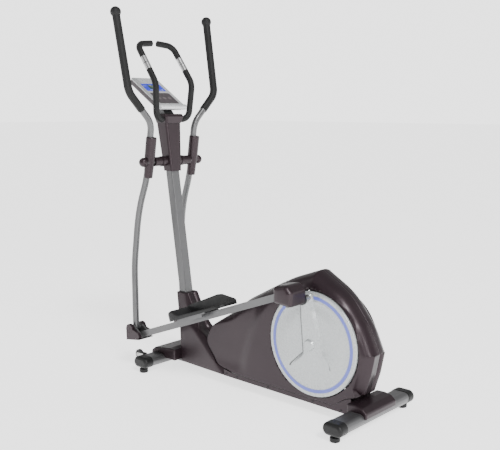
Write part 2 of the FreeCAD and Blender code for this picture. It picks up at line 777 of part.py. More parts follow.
def console_front():
    """The bezel: a face plate with a screen opening and key holes, rolled at its lower edge."""
    half = size("console_half")
    length = size("console_length")
    plate = Part.Face(flat_rectangle(0, -half, length + 2, half, 15)).extrude(Vector(0, 0, 4))
    plate = plate.makeFillet(2, [edge for edge in plate.Edges
                                 if all(abs(vertex.Point.z - 4) < 0.01 for vertex in edge.Vertexes)])
    roll = Part.makeCylinder(size("console_roll"), 2 * half, Vector(0, -half, 0), Y_AXIS)
    roll = roll.makeFillet(5, [roll.Edges[0], roll.Edges[2]])
    shape = union([plate, roll])
    shape = shape.cut(Part.Face(flat_rectangle(*WINDOW, 3)).extrude(Vector(0, 0, 10)))
    recess = Part.Face(flat_rectangle(*KEY_FIELD, 5)).extrude(Vector(0, 0, 10))
    recess.translate(Vector(0, 0, 2.5))
    shape = shape.cut(recess)
    for x, y in KEYS.values():
        shape = shape.cut(Part.makeCylinder(KEY_RADIUS + 0.4, 30, Vector(x, y, -4)))
    shape.Placement = console_place()
    return feature("console_front", shape)


def display_window():
    """The screen, set just below the bezel's face."""
    x_low, y_low, x_high, y_high = WINDOW
    pane = Part.Face(flat_rectangle(x_low + 0.3, y_low + 0.3, x_high - 0.3, y_high - 0.3, 2.7))
    shape = pane.extrude(Vector(0, 0, 2.4))
    shape.Placement = console_place()
    return feature("display_window", shape)


def key(label, x, y):
    """A rubber key in its hole in the bezel."""
    cap = Part.makeCylinder(KEY_RADIUS, 5, Vector(x, y, 0))
    cap = cap.makeFillet(1.2, [cap.Edges[0]])
    cap.Placement = console_place()
    feature(label, cap)


def console_bracket():
    """The neck between the clamp and the console."""
    depth = size("console_depth")
    tilt = math.radians(size("console_tilt"))
    corner = Vector(size("console_x"), 0, size("console_z"))
    under = corner - Vector(math.sin(tilt), 0, math.cos(tilt)) * depth
    base = under + Vector(-math.cos(tilt), 0, math.sin(tilt)) * 52
    top = under + Vector(-math.cos(tilt), 0, math.sin(tilt)) * 118
    wire = side_outline([(-556, 1209, 0), (-512, 1209, 0), (base.x, base.z, 0), (top.x, top.z, 0)])
    return feature("console_bracket", slab(wire, -28, 28))


# ---------------------------------------------------------------- crank and drive

def crank_axle():
    """The axle across the bearing shell."""
    end = size("disc_dome") - 4
    item = primitive("Cylinder", across(CRANK.x, -end, CRANK.z), Radius="{axle_radius}",
                     Height="2 * ({disc_dome} - 4)")
    keep(item, "crank_axle")


def crank_bearings():
    """A bearing at each end of the shell."""
    shapes = []
    width = size("bearing_width")
    for _name, side in SIDES:
        start = CRANK - Vector(0, size("shell_half") - 2, 0)
        ring = rod(size("bearing_radius"), start, start + Vector(0, width, 0))
        bore = rod(size("axle_radius") + size("running_fit"), start, start + Vector(0, width, 0))
        shapes.append(mirrored(ring.cut(bore), side))
    return feature("crank_bearings", Part.makeCompound(shapes))


def crank_direction(side):
    """Unit vector from the axle to the crank pin of a side."""
    return (crank_pin(side) - CRANK).normalize()


def crank_arms():
    """A steel crank on each end of the axle, with the boss that carries the pedal arm's pin."""
    shapes = []
    back = size("disc_dome") - 12
    front = size("disc_dome") + 4
    half = size("crank_bar") / 2
    for _name, side in SIDES:
        ahead = crank_direction(side)
        cross = Vector(-ahead.z, 0, ahead.x)
        pin = CRANK + ahead * size("crank_radius")
        wire = Part.makePolygon([CRANK + cross * half, pin + cross * half * 0.7, pin - cross * half * 0.7,
                                 CRANK - cross * half, CRANK + cross * half])
        bar = slab(wire, -front, -back)
        hub = rod(half + 4, CRANK - Vector(0, front, 0), CRANK - Vector(0, back, 0))
        end = size("pin_plane") - size("pin_gap")
        boss = rod(size("boss_radius"), pin - Vector(0, end, 0), pin - Vector(0, back, 0))
        bore = rod(size("axle_radius"), CRANK, CRANK - Vector(0, size("disc_dome") - 4, 0))
        shapes.append(mirrored(union([bar, hub, boss]).cut(bore), side))
    return feature("crank_arms", Part.makeCompound(shapes))


def crank_disc(label, side):
    """The moulded disc over a crank, with a raised fairing that widens from the pin to the hub."""
    face = size("disc_face")
    dome = size("disc_dome")
    back = size("disc_back")
    radius = size("disc_radius")
    profile = Part.makePolygon([
        Vector(16, back, 0), Vector(radius, back, 0), Vector(radius, face - 3, 0),
        Vector(radius - 3, face, 0), Vector(radius - 39, face, 0), Vector(radius - 60, face + 3, 0),
        Vector(60, dome, 0), Vector(16, dome, 0), Vector(16, back, 0)])
    disc = Part.Face(profile).revolve(Vector(0, 0, 0), Y_AXIS, 360)
    disc.rotate(Vector(0, 0, 0), Z_AXIS, 180)
    disc.translate(CRANK)
    ahead = crank_direction(side)
    cross = Vector(-ahead.z, 0, ahead.x)
    shape = union([disc, crank_fairing(ahead, cross)])
    half = size("crank_bar") / 2
    pin = CRANK + ahead * size("crank_radius")
    wire = Part.makePolygon([CRANK + cross * half, pin + cross * half * 0.7, pin - cross * half * 0.7,
                             CRANK - cross * half, CRANK + cross * half])
    room = slab(wire, -dome - 4, 12 - dome)
    hub = rod(half + 4, CRANK - Vector(0, dome + 4, 0), CRANK - Vector(0, dome - 12, 0))
    boss = rod(size("boss_radius"), pin - Vector(0, 200, 0), pin - Vector(0, dome - 12, 0))
    feature(label, mirrored(shape.cut(room).cut(hub).cut(boss), side))


def crank_fairing(ahead, cross):
    """A sloping wedge on the disc: narrow and high at the pin, wide and low at the hub."""
    base_y = size("disc_face") - 1
    low_y = size("disc_dome") + 6
    high_y = size("pin_plane") - 9
    near = CRANK + ahead * (size("crank_radius") + 16)
    far = CRANK - ahead * 34
    corners_base = [near + cross * 24, near - cross * 24, far - cross * 66, far + cross * 66]
    corners_top = [near + cross * 16 - ahead * 4, near - cross * 16 - ahead * 4,
                   far - cross * 46 + ahead * 14, far + cross * 46 + ahead * 14]
    base = [corner - Vector(0, base_y, 0) for corner in corners_base]
    top = [corner - Vector(0, high_y if i < 2 else low_y, 0) for i, corner in enumerate(corners_top)]
    faces = [Part.Face(Part.makePolygon(base + base[:1])), Part.Face(Part.makePolygon(top + top[:1]))]
    for i in range(4):
        j = (i + 1) % 4
        faces.append(Part.Face(Part.makePolygon([base[i], base[j], top[j], base[i]])))
        faces.append(Part.Face(Part.makePolygon([base[i], top[j], top[i], base[i]])))
    return Part.Solid(Part.Shell(faces))


def disc_rings():
    """The coloured ring on the flat rim of each disc."""
    shapes = []
    face = size("disc_face")
    for _name, side in SIDES:
        outer = rod(size("ring_outer"), CRANK - Vector(0, face + 0.8, 0), CRANK - Vector(0, face, 0))
        inner = rod(size("ring_inner"), CRANK - Vector(0, face + 2, 0), CRANK - Vector(0, face - 2, 0))
        shapes.append(mirrored(outer.cut(inner).cut(fairing_room(side)), side))
    return feature("disc_rings", Part.makeCompound(shapes))


def fairing_room(side):
    """The fairing's own space, for what it passes through."""
    ahead = crank_direction(side)
    return crank_fairing(ahead, Vector(-ahead.z, 0, ahead.x))


def drive_pulley():
    """The large belt pulley on the crank axle."""
    y = size("pulley_y")
    half = size("pulley_width") / 2
    disc = rod(size("pulley_radius"), CRANK + Vector(0, y - half, 0), CRANK + Vector(0, y + half, 0))
    rim = rod(size("pulley_radius") - 10, CRANK + Vector(0, y + 4, 0), CRANK + Vector(0, y + half, 0))
    hub = rod(24, CRANK + Vector(0, y + 4, 0), CRANK + Vector(0, y + half, 0))
    bore = rod(size("axle_radius"), CRANK + Vector(0, y - 30, 0), CRANK + Vector(0, y + 30, 0))
    return feature("drive_pulley", disc.cut(rim.cut(hub)).cut(bore))


def flywheel():
    """The iron flywheel with its small belt pulley."""
    half = size("flywheel_width") / 2
    face = FLYWHEEL - Vector(0, half, 0)
    floor = FLYWHEEL - Vector(0, half - 10, 0)
    wheel = rod(size("flywheel_radius"), face, FLYWHEEL + Vector(0, half, 0))
    dish = rod(size("flywheel_radius") - 22, face, floor)
    hub = rod(26, face, floor)
    end = FLYWHEEL + Vector(0, size("pulley_y") + size("pulley_width") / 2, 0)
    small = rod(size("small_pulley_radius"), FLYWHEEL + Vector(0, half - 1, 0), end)
    bore = rod(size("flywheel_axle_radius") + size("running_fit"), FLYWHEEL - Vector(0, 90, 0),
               FLYWHEEL + Vector(0, 90, 0))
    return feature("flywheel", union([wheel.cut(dish.cut(hub)), small]).cut(bore))


def drive_belt():
    """The ribbed belt round both pulleys."""
    gap = 0.3
    thickness = size("belt_thickness")
    half = size("pulley_width") / 2 - 2
    inner = belt_loop(size("pulley_radius") + gap, size("small_pulley_radius") + gap)
    outer = belt_loop(size("pulley_radius") + gap + thickness,
                      size("small_pulley_radius") + gap + thickness)
    y = size("pulley_y")
    band = slab(outer, y - half, y + half).cut(slab(inner, y - half - 1, y + half + 1))
    return feature("drive_belt", band)


def belt_loop(large, small):
    """The closed line round two circles, by their outer tangents."""
    span = FLYWHEEL - CRANK
    base = math.atan2(span.z, span.x)
    swing = math.acos((large - small) / span.Length)

    def spot(centre, radius, angle):
        return centre + Vector(math.cos(angle), 0, math.sin(angle)) * radius

    large_top = spot(CRANK, large, base + swing)
    large_low = spot(CRANK, large, base - swing)
    small_low = spot(FLYWHEEL, small, base - swing)
    small_top = spot(FLYWHEEL, small, base + swing)
    return Part.Wire([Part.Arc(large_top, spot(CRANK, large, base + math.pi), large_low).toShape(),
                      Part.LineSegment(large_low, small_low).toShape(),
                      Part.Arc(small_low, spot(FLYWHEEL, small, base), small_top).toShape(),
                      Part.LineSegment(small_top, large_top).toShape()])


def magnetic_brake():
    """The curved magnet carrier over the flywheel's rim, and the geared motor that moves it."""
    inner = size("flywheel_radius") + 3
    half = size("flywheel_width") / 2
    ring = rod(inner + 14, FLYWHEEL - Vector(0, half, 0), FLYWHEEL + Vector(0, half, 0))
    ring = ring.cut(rod(inner, FLYWHEEL - Vector(0, half + 1, 0), FLYWHEEL + Vector(0, half + 1, 0)))
    window = Part.makeBox(150, 2 * half + 4, 80, Vector(FLYWHEEL.x - 75, -half - 2, FLYWHEEL.z + 88))
    top = size("rail_bottom") + size("rail_height")
    x = FLYWHEEL.x - 185
    case = Part.makeBox(56, 44, 58, Vector(x, -22, top))
    case = case.makeFillet(5, [edge for edge in case.Edges if edge.BoundBox.ZLength > 50])
    shaft = Part.makeCylinder(9, 14, Vector(x + 28, 0, top + 58))
    return feature("magnetic_brake", Part.makeCompound([ring.common(window), union([case, shaft])]))


def power_inlet():
    """The round mains-adapter socket in the right skirt strip."""
    barrel = primitive("Cylinder", across(INLET.x, size("skirt_half") - 13.5, INLET.z), Height="15")
    barrel.Radius = INLET_RADIUS
    socket = primitive("Cylinder", across(INLET.x, size("skirt_half") - 8.5, INLET.z), Height="12")
    socket.Radius = INLET_RADIUS * 0.4
    keep(boolean("Cut", barrel, socket), "power_inlet")


# ---------------------------------------------------------------- swing arms

def arm_path():
    """The swing arm's centre line on the left, from the lower joint to the hand grip's top."""
    span = -size("arm_span")
    return [((JOINT.x, -size("joint_span"), JOINT.z), 0), ((JOINT.x - 8, -151, 500), 900),
            ((PIVOT.x - 76, -142, 760), 700), ((PIVOT.x - 20, span, 912), 500),
            ((PIVOT.x + 17, span, 1168), 90), ((PIVOT.x + 21, -270, 1305), 75),
            ((PIVOT.x - 43, -282, 1653), 0)]


def swing_tube(label, side):
    """One bent tube with a bush across it at the pivot and at the lower joint."""
    path = arm_path()
    radius = size("arm_tube") / 2
    tube = hollow_pipe(path, radius, size("arm_wall"))
    fit = size("running_fit")
    centre = PIVOT - Vector(0, size("arm_span"), 0)
    upper_hub = rod(16, centre - Vector(0, 19, 0), centre + Vector(0, 19, 0))
    upper_bore = rod(size("pivot_radius") + fit, centre - Vector(0, 30, 0), centre + Vector(0, 30, 0))
    joint = JOINT - Vector(0, size("joint_span"), 0)
    half = size("joint_hub_half")
    lower_hub = rod(size("joint_hub_radius"), joint - Vector(0, half, 0), joint + Vector(0, half, 0))
    lower_bore = rod(size("joint_bolt_radius") + fit, joint - Vector(0, 30, 0), joint + Vector(0, 30, 0))
    shape = union([tube, upper_hub, lower_hub]).cut(upper_bore).cut(lower_bore)
    feature(label, mirrored(shape, side))


def pivot_sleeve(label, side):
    """The moulded casing where the arm meets the pivot, with a ball over the axle's end."""
    centre = PIVOT - Vector(0, size("arm_span"), 0)
    profile = Part.makePolygon([
        Vector(0, 0, -73), Vector(19, 0, -73), Vector(20, 0, -71), Vector(22, 0, -20), Vector(24.5, 0, 20),
        Vector(24.5, 0, 112), Vector(22.5, 0, 115), Vector(0, 0, 115), Vector(0, 0, -73)])
    body = Part.Face(profile).revolve(Vector(0, 0, 0), Z_AXIS, 360)
    lean = math.degrees(math.atan2(37, 256))
    body.rotate(Vector(0, 0, 0), Y_AXIS, lean)
    body.translate(centre)
    ball = Part.makeSphere(21.5, centre - Vector(0, 35, 0))
    neck = rod(15, centre, centre - Vector(0, 35, 0))
    shape = union([body, ball, neck])
    shape = shape.cut(pipe(arm_path(), size("arm_tube") / 2))
    shape = shape.cut(rod(16, centre - Vector(0, 19, 0), centre + Vector(0, 19, 0)))
    bore = rod(size("pivot_radius") + 0.5, centre - Vector(0, 23, 0), centre + Vector(0, 60, 0))
    gap = Part.makeBox(200, 30, 300, Vector(centre.x - 100, -size("collar_end") - 0.5, centre.z - 150))
    feature(label, mirrored(shape.cut(bore).cut(gap), side))


def swing_grip(label, side):
    """The foam on the moving handle and the ball at its end."""
    path = arm_path()
    start = along(path[4][0], path[5][0], 0.44)
    top = path[6][0]
    foam_path = [(tuple(start), 0), path[5], (top, 0)]
    tube = pipe(path, size("arm_tube") / 2)
    foam = pipe(foam_path, size("grip_tube") / 2).cut(tube)
    ball = Part.makeSphere(size("ball_radius"), Vector(*top))
    ball = ball.cut(tube).cut(pipe(foam_path, size("grip_tube") / 2))
    feature(label, mirrored(union([foam, ball]), side))


# ---------------------------------------------------------------- pedals

def tray_place(side):
    """Where a footplate's underside lies: over the pedal arm, at the arm's slope."""
    front, rear = pedal_line(side)
    slope = math.atan2(rear.z - front.z, rear.x - front.x)
    start_x = size("tray_front_x")
    share = (start_x - front.x) / (rear.x - front.x)
    level = front.z + (rear.z - front.z) * share + size("pedal_tube") / 2 / math.cos(slope)
    return Placement(Vector(start_x, 0, level + size("tray_lift")), Rotation(Y_AXIS, -math.degrees(slope)))


def tray_bracket(side):
    """The steel plate between the pedal arm and the footplate, with its edges turned down."""
    length = size("tray_length")
    inner = size("tray_inner") + 12
    outer = size("tray_outer") - 16
    lift = size("tray_lift") + 1
    plate = Part.makeBox(length * 0.52, outer - inner, lift, Vector(length * 0.14, -outer, -lift))
    for y in (-outer, -inner - 4):
        plate = plate.fuse(Part.makeBox(length * 0.4, 4, 18, Vector(length * 0.2, y, -18)))
    plate.Placement = tray_place(side)
    return plate


def pedal_arm(label, side):
    """The pedal arm: square tube, a fork for the lower joint and a hub for the crank pin."""
    front, rear = pedal_line(side)
    half = size("pedal_tube") / 2
    length = front.distanceToPoint(rear) - 16
    ahead = unit(rear - front)
    beside = unit(Z_AXIS.cross(ahead))
    above = ahead.cross(beside)
    tube = Part.makeBox(length, 2 * half, 2 * half)
    tube.Placement = Placement(front + ahead * 16 - beside * half - above * half,
                               Rotation(ahead, beside, above, "XYZ"))
    joint = JOINT - Vector(0, size("joint_span"), 0)
    pin = crank_pin(side)
    hub_start = pin - Vector(0, size("pin_plane") + size("pin_gap") + 12, 0)
    hub = rod(size("hub_radius"), hub_start, pin - Vector(0, size("hub_outer") - 4, 0))
    lug = Part.makeBox(34, 26, size("pedal_rear_rise") + 4,
                       Vector(pin.x - 17, -size("pedal_rear_span") - 13, pin.z))
    pieces = [tube, hub, lug, tray_bracket(side)]
    inside = size("joint_hub_half") + 1.5
    for low in (-inside - 8, inside):
        wire = side_outline([(joint.x - 16, joint.z - 50, 8),
                             (joint.x + 66, joint.z - 38, 0), (joint.x + 60, joint.z - 16, 8),
                             (joint.x + 16, joint.z + 14, 10), (joint.x - 16, joint.z + 14, 10)])
        pieces.append(slab(wire, joint.y + low, joint.y + low + 8))
    floor = side_outline([(joint.x - 16, joint.z - 34, 0), (joint.x - 16, joint.z - 50, 8),
                          (joint.x + 66, joint.z - 38, 0), (joint.x + 64, joint.z - 24, 0)])
    pieces.append(slab(floor, joint.y - inside - 8, joint.y + inside + 8))
    reach = Vector(0, inside + 16, 0)
    pieces.append(rod(size("joint_bolt_radius"), joint - reach, joint + reach))
    feature(label, mirrored(union(pieces), side))


def joint_cover(label, side):
    """The moulded caps over both ends of the lower joint's bolt, joined under the fork."""
    joint = JOINT - Vector(0, size("joint_span"), 0)
    inside = size("joint_hub_half") + 1.5 + 8
    half = size("joint_half")
    pieces = []
    for low, high in ((-half, -inside), (inside, half)):
        cheek = side_outline([(joint.x - 22, joint.z, 0), (joint.x - 20, joint.z - 56, 8),
                              (joint.x + 78, joint.z - 34, 10), (joint.x + 62, joint.z - 12, 8),
                              (joint.x + 22, joint.z, 0)])
        pieces.append(slab(cheek, joint.y + low, joint.y + high))
        pieces.append(rod(size("joint_cap_radius"), joint + Vector(0, low, 0), joint + Vector(0, high, 0)))
    pan = side_outline([(joint.x - 21, joint.z - 50.5, 0), (joint.x - 20, joint.z - 56, 3),
                        (joint.x + 70, joint.z - 42, 0), (joint.x + 66, joint.z - 38.5, 0)])
    pieces.append(slab(pan, joint.y - half, joint.y + half))
    nose = side_outline([(joint.x - 22, joint.z - 14, 3), (joint.x - 20, joint.z - 56, 3),
                         (joint.x - 16.5, joint.z - 56, 0), (joint.x - 16.5, joint.z - 14, 0)])
    pieces.append(slab(nose, joint.y - half, joint.y + half))
    feature(label, mirrored(union(pieces), side).cut(made("pedal_arm", side)))


def hub_cover(label, side):
    """The moulded cover over the pedal arm's rear end."""
    pin = crank_pin(side)
    wire = side_outline([(pin.x - 72, pin.z - 2, 12), (pin.x + 20, pin.z - 2, 10),
                         (pin.x + 24, pin.z + 44, 16), (pin.x - 4, pin.z + 74, 22),
                         (pin.x - 72, pin.z + 62, 18)])
    block = slab(wire, -size("hub_outer") - 10, -size("pin_plane") - 14)
    edges = [edge for edge in block.Edges
             if all(abs(vertex.Point.y + size("hub_outer") + 10) < 0.01 for vertex in edge.Vertexes)]
    block = block.makeFillet(9, edges)
    feature(label, mirrored(block, side).cut(made("pedal_arm", side)))


def hub_bearing(label, side):
    """The sealed bush at the inboard end of the hub, against the crank pin."""
    pin = crank_pin(side)
    start = pin - Vector(0, size("pin_plane") + size("pin_gap"), 0)
    ring = rod(19, start, start - Vector(0, 12, 0))
    feature(label, mirrored(ring.makeFillet(2, [ring.Edges[0]]), side))


def footplate(label, side):
    """The tray the foot stands in: base, toe wall, tall inner wall and low outer lip."""
    length = size("tray_length")
    inner = -size("tray_inner")
    outer = -size("tray_outer")
    base = outline([((0, outer, 0), 26), ((length, outer, 0), 34),
                    ((length, inner, 0), 22), ((0, inner, 0), 26)])
    tray = Part.Face(base).extrude(Vector(0, 0, 62))
    room = outline([((9, outer + 6, 0), 22), ((length - 5, outer + 6, 0), 30),
                    ((length - 5, inner - 6, 0), 18), ((9, inner - 6, 0), 22)])
    cavity = Part.Face(room).extrude(Vector(0, 0, 80))
    cavity.translate(Vector(0, 0, size("tray_base")))
    tray = tray.cut(cavity)
    low = Part.Face(Part.makePolygon([
        Vector(34, 0, 62), Vector(56, 0, 24), Vector(76, 0, 16), Vector(length + 5, 0, 12),
        Vector(length + 5, 0, 90), Vector(34, 0, 90), Vector(34, 0, 62)]))
    low.translate(Vector(0, outer - 5, 0))
    tray = tray.cut(low.extrude(Vector(0, inner - outer - 6, 0)))
    high = Part.Face(Part.makePolygon([
        Vector(-5, 0, 44), Vector(20, 0, 50), Vector(length * 0.68, 0, 62), Vector(length * 0.76, 0, 58),
        Vector(length + 5, 0, 14), Vector(length + 5, 0, 90), Vector(-5, 0, 90), Vector(-5, 0, 44)]))
    high.translate(Vector(0, outer - 5, 0))
    tray = tray.cut(high.extrude(Vector(0, inner - outer + 10, 0)))
    tray.Placement = tray_place(side)
    feature(label, mirrored(tray, side))


# ---------------------------------------------------------------- assembly

def build():
    """Make every sub-part."""
    main_frame()
    mast_tube()
    stabilizer("front_stabilizer", "front_foot_x", "front_half_span")
    stabilizer("rear_stabilizer", "rear_foot_x", "rear_half_span")
    stabilizer_end_caps()
    for name, x, y, _side in foot_places():
        levelling_foot(name, x, y)
    wheel_brackets()
    bracket_cover("front_bracket_cover", FRONT_SADDLE, 92, "front_foot_x", (-470, -395, 94))
    bracket_cover("rear_bracket_cover", REAR_SADDLE, 108, "rear_foot_x", (570, 600, 94))
    front_cover()
    skirt_strips()
    shroud_screws()
    mast_cover()
    pivot_axle()
    pivot_collars()
    handlebar_tube()
    handlebar_clamp()
    handlebar_grips()
    pulse_plates()
    console_back()
    console_front()
    display_window()
    console_bracket()
    for name, (x, y) in KEYS.items():
        key(name, x, y)
    crank_axle()
    crank_bearings()
    crank_arms()
    disc_rings()
    drive_pulley()
    drive_belt()
    flywheel()
    magnetic_brake()
    power_inlet()
    for name, side in SIDES:
        transport_wheel(f"transport_wheel_{name}", side)
        side_shroud(f"side_shroud_{name}", side)
        crank_disc(f"crank_disc_{name}", side)
        swing_tube(f"swing_tube_{name}", side)
        pivot_sleeve(f"pivot_sleeve_{name}", side)
        swing_grip(f"swing_grip_{name}", side)
        pedal_arm(f"pedal_arm_{name}", side)
        joint_cover(f"joint_cover_{name}", side)
        hub_cover(f"hub_cover_{name}", side)
        hub_bearing(f"hub_bearing_{name}", side)
        footplate(f"footplate_{name}", side)


def check():
    """Stop if any object failed or any sub-part's shape is not a valid one."""
    doc.recompute()
    for item in doc.Objects:
        if "Invalid" in item.State or "Error" in item.State:
            raise RuntimeError(f"{item.Label} failed: {item.State}")
    broken = [item.Label for item in parts
              if item.Shape.isNull() or not item.Shape.isValid() or item.Shape.Volume <= 0]
    if broken:
        raise RuntimeError("no valid shape: " + ", ".join(broken))


def settle():
    """Move the whole machine so that the origin is under the middle of its box."""
    box = FreeCAD.BoundBox()
    for item in parts:
        box.add(item.Shape.BoundBox)
    shift = Vector(-(box.XMin + box.XMax) / 2, 0, 0)
    for item in parts:
        place = item.Placement
        item.Placement = Placement(place.Base + shift, place.Rotation)
    doc.recompute()


def export():
    """Write one STEP file for each sub-part."""
    os.makedirs("parts", exist_ok=True)
    for item in parts:
        item.Shape.exportStep(f"parts/{item.Label}.step")
    print(len(parts), "sub-parts written")


build()
settle()
check()
export()
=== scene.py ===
"""Looks for the elliptical trainer: materials, moulded covers, studio and camera.

Lengths are in millimetres until they become vertices; the frame and Blender use metres.
"""
import functools
import json
import math

import bmesh
import bpy
import numpy as np
from mathutils import Matrix, Vector
from mathutils.geometry import delaunay_2d_cdt


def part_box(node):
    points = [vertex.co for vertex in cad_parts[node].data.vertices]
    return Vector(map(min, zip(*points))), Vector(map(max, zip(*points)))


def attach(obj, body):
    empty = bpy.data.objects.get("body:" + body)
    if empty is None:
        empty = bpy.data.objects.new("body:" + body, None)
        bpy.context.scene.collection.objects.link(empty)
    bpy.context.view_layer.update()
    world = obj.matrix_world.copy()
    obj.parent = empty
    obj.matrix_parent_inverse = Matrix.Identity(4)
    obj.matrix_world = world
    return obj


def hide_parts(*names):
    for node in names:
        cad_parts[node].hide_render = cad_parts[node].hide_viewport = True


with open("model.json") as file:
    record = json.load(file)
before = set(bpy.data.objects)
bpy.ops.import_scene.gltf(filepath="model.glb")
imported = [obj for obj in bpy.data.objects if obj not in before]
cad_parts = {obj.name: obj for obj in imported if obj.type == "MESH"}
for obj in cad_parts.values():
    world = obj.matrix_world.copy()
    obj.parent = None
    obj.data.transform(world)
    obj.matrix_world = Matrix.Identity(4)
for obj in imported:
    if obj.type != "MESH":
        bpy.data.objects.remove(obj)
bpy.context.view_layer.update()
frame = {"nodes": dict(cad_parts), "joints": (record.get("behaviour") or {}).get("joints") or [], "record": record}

MM = 0.001
LEFT = -1
RIGHT = 1
SIDES = (("left", LEFT), ("right", RIGHT))
NODES = frame["nodes"]
JOINTS = {joint["name"]: joint for joint in frame["joints"]}


def joint_at(name):
    """A joint's place, in millimetres."""
    return Vector(JOINTS[name]["pos_m"]) / MM


CRANK = joint_at("crank_spin")
KNEE = joint_at("pedal_left_hinge")


@functools.lru_cache(maxsize=None)
def box(node):
    """A CAD node's lowest and highest corners, in millimetres."""
    low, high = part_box(node)
    return low / MM, high / MM


# ---------------------------------------------------------------- mesh helpers

def piece(name, verts, faces, material, body, slot, angle=38, merge=0.0):
    """A smooth-shaded mesh from vertices in millimetres, riding on a body."""
    mesh = bpy.data.meshes.new(name)
    mesh.from_pydata([Vector(v) * MM for v in verts], [], faces)
    work = bmesh.new()
    work.from_mesh(mesh)
    if merge:
        bmesh.ops.remove_doubles(work, verts=work.verts, dist=merge * MM)
    bmesh.ops.recalc_face_normals(work, faces=work.faces)
    work.to_mesh(mesh)
    work.free()
    mesh.materials.append(material)
    for polygon in mesh.polygons:
        polygon.use_smooth = True
    mesh.set_sharp_from_angle(angle=math.radians(angle))
    item = bpy.data.objects.new(name, mesh)
    bpy.context.scene.collection.objects.link(item)
    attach(item, body)
    return item


def join(*meshes):
    """One vertex and face list from several."""
    verts = []
    faces = []
    for some_verts, some_faces in meshes:
        start = len(verts)
        verts += list(some_verts)
        faces += [tuple(start + i for i in face) for face in some_faces]
    return verts, faces


def mirror(mesh, side):
    """Meshes are drawn on the left; the right one is their mirror image."""
    verts, faces = mesh
    if side == LEFT:
        return verts, faces
    return [Vector((v[0], -v[1], v[2])) for v in verts], [face[::-1] for face in faces]


def rounded(corners, steps=8):
    """Points round a closed outline of (x, z, radius) corners, each corner an arc."""
    points = [Vector((x, z)) for x, z, _radius in corners]
    result = []
    for i, (_x, _z, radius) in enumerate(corners):
        back = (points[i - 1] - points[i]).normalized()
        ahead = (points[(i + 1) % len(points)] - points[i]).normalized()
        half = back.angle(ahead) / 2
        if radius <= 0 or half > math.radians(89.5):
            result.append(points[i])
            continue
        start = points[i] + back * (radius / math.tan(half))
        end = points[i] + ahead * (radius / math.tan(half))
        centre = points[i] + (back + ahead).normalized() * (radius / math.sin(half))
        for step in range(steps + 1):
            share = step / steps
            spoke = (start - centre).lerp(end - centre, share).normalized()
            result.append(centre + spoke * radius)
    return result


def resample(points, spacing):
    """Evenly spaced points round a closed outline, keeping its corners."""
    result = []
    for start, end in zip(points, points[1:] + points[:1]):
        count = max(1, round((end - start).length / spacing))
        if (end - start).length < 1e-4:
            continue
        result += [start.lerp(end, step / count) for step in range(count)]
    return result


def loft(rings, caps=True):
    """Quads between rings of equal length, with flat caps."""
    count = len(rings[0])
    verts = [v for ring in rings for v in ring]
    faces = []
    for row in range(len(rings) - 1):
        for i in range(count):
            j = (i + 1) % count
            a = row * count
            faces.append((a + i, a + j, a + count + j, a + count + i))
    if caps:
        faces.append(tuple(range(count))[::-1])
        faces.append(tuple(range((len(rings) - 1) * count, len(rings) * count)))
    return verts, faces


def turned(profile, centre, axis, segments=64):
    """A surface of revolution of (along, radius) points about an axis through a centre."""
    axis = Vector(axis).normalized()
    side = axis.orthogonal().normalized()
    up = axis.cross(side)
    rings = []
    for distance, radius in profile:
        ring = []
        for step in range(segments):
            angle = 2 * math.pi * step / segments
            spoke = side * math.cos(angle) + up * math.sin(angle)
            ring.append(centre + axis * distance + spoke * max(radius, 0.01))
        rings.append(ring)
    return loft(rings)


def ease(value, start, end):
    """A smooth step from 0 at one value to 1 at another."""
    share = min(1.0, max(0.0, (value - start) / (end - start)))
    return share * share * (3 - 2 * share)


# ---------------------------------------------------------------- moulded side panels

def inward_normals(points):
    """Unit normals that point into a closed outline."""
    pts = np.array([[p.x, p.y] for p in points])
    ahead = np.roll(pts, -1, axis=0) - pts
    behind = pts - np.roll(pts, 1, axis=0)
    ahead /= np.linalg.norm(ahead, axis=1)[:, None]
    behind /= np.linalg.norm(behind, axis=1)[:, None]
    tangent = ahead + behind
    tangent /= np.linalg.norm(tangent, axis=1)[:, None]
    area = np.sum(pts[:, 0] * np.roll(pts[:, 1], -1) - np.roll(pts[:, 0], -1) * pts[:, 1])
    turn = 1 if area > 0 else -1
    return pts, np.stack([-tangent[:, 1], tangent[:, 0]], axis=1) * turn


def distance_to(points, pts):
    """The distance from each point to a closed polyline."""
    a = pts
    b = np.roll(pts, -1, axis=0)
    span = b - a
    share = np.einsum("pij,ij->pi", points[:, None, :] - a[None], span) / np.sum(span * span, axis=1)
    nearest = a[None] + np.clip(share, 0, 1)[:, :, None] * span[None]
    return np.min(np.linalg.norm(points[:, None, :] - nearest, axis=2), axis=1)


def inset_ring(pts, normals, distance):
    """The outline moved inwards; where it would cross itself, its points gather at the mitre."""
    moved = pts + normals * distance
    good = distance_to(moved, pts) > distance * 0.985
    index = np.arange(len(pts))
    valid = index[good]
    gap = np.abs(valid[None] - index[:, None])
    gap = np.minimum(gap, len(pts) - gap)
    return moved[valid[np.argmin(gap, axis=1)]]


def clear_of(ring, hole, margin):
    """A ring's points moved out of a round hole, to a margin beyond its edge."""
    centre = np.array(hole[:2])
    away = np.linalg.norm(ring - centre, axis=1)
    scale = np.maximum(1, (hole[2] + margin) / away)
    return centre + (ring - centre) * scale[:, None]


def inside(points, polygon):
    """Which points lie inside a closed polygon."""
    x, y = points[:, 0][:, None], points[:, 1][:, None]
    a = polygon
    b = np.roll(polygon, -1, axis=0)
    crosses = (a[None, :, 1] > y) != (b[None, :, 1] > y)
    rise = b[None, :, 1] - a[None, :, 1]
    rise = np.where(rise == 0, 1e-9, rise)
    at = a[None, :, 0] + (y - a[None, :, 1]) * (b[None, :, 0] - a[None, :, 0]) / rise
    return np.sum(crosses & (x < at), axis=1) % 2 == 1


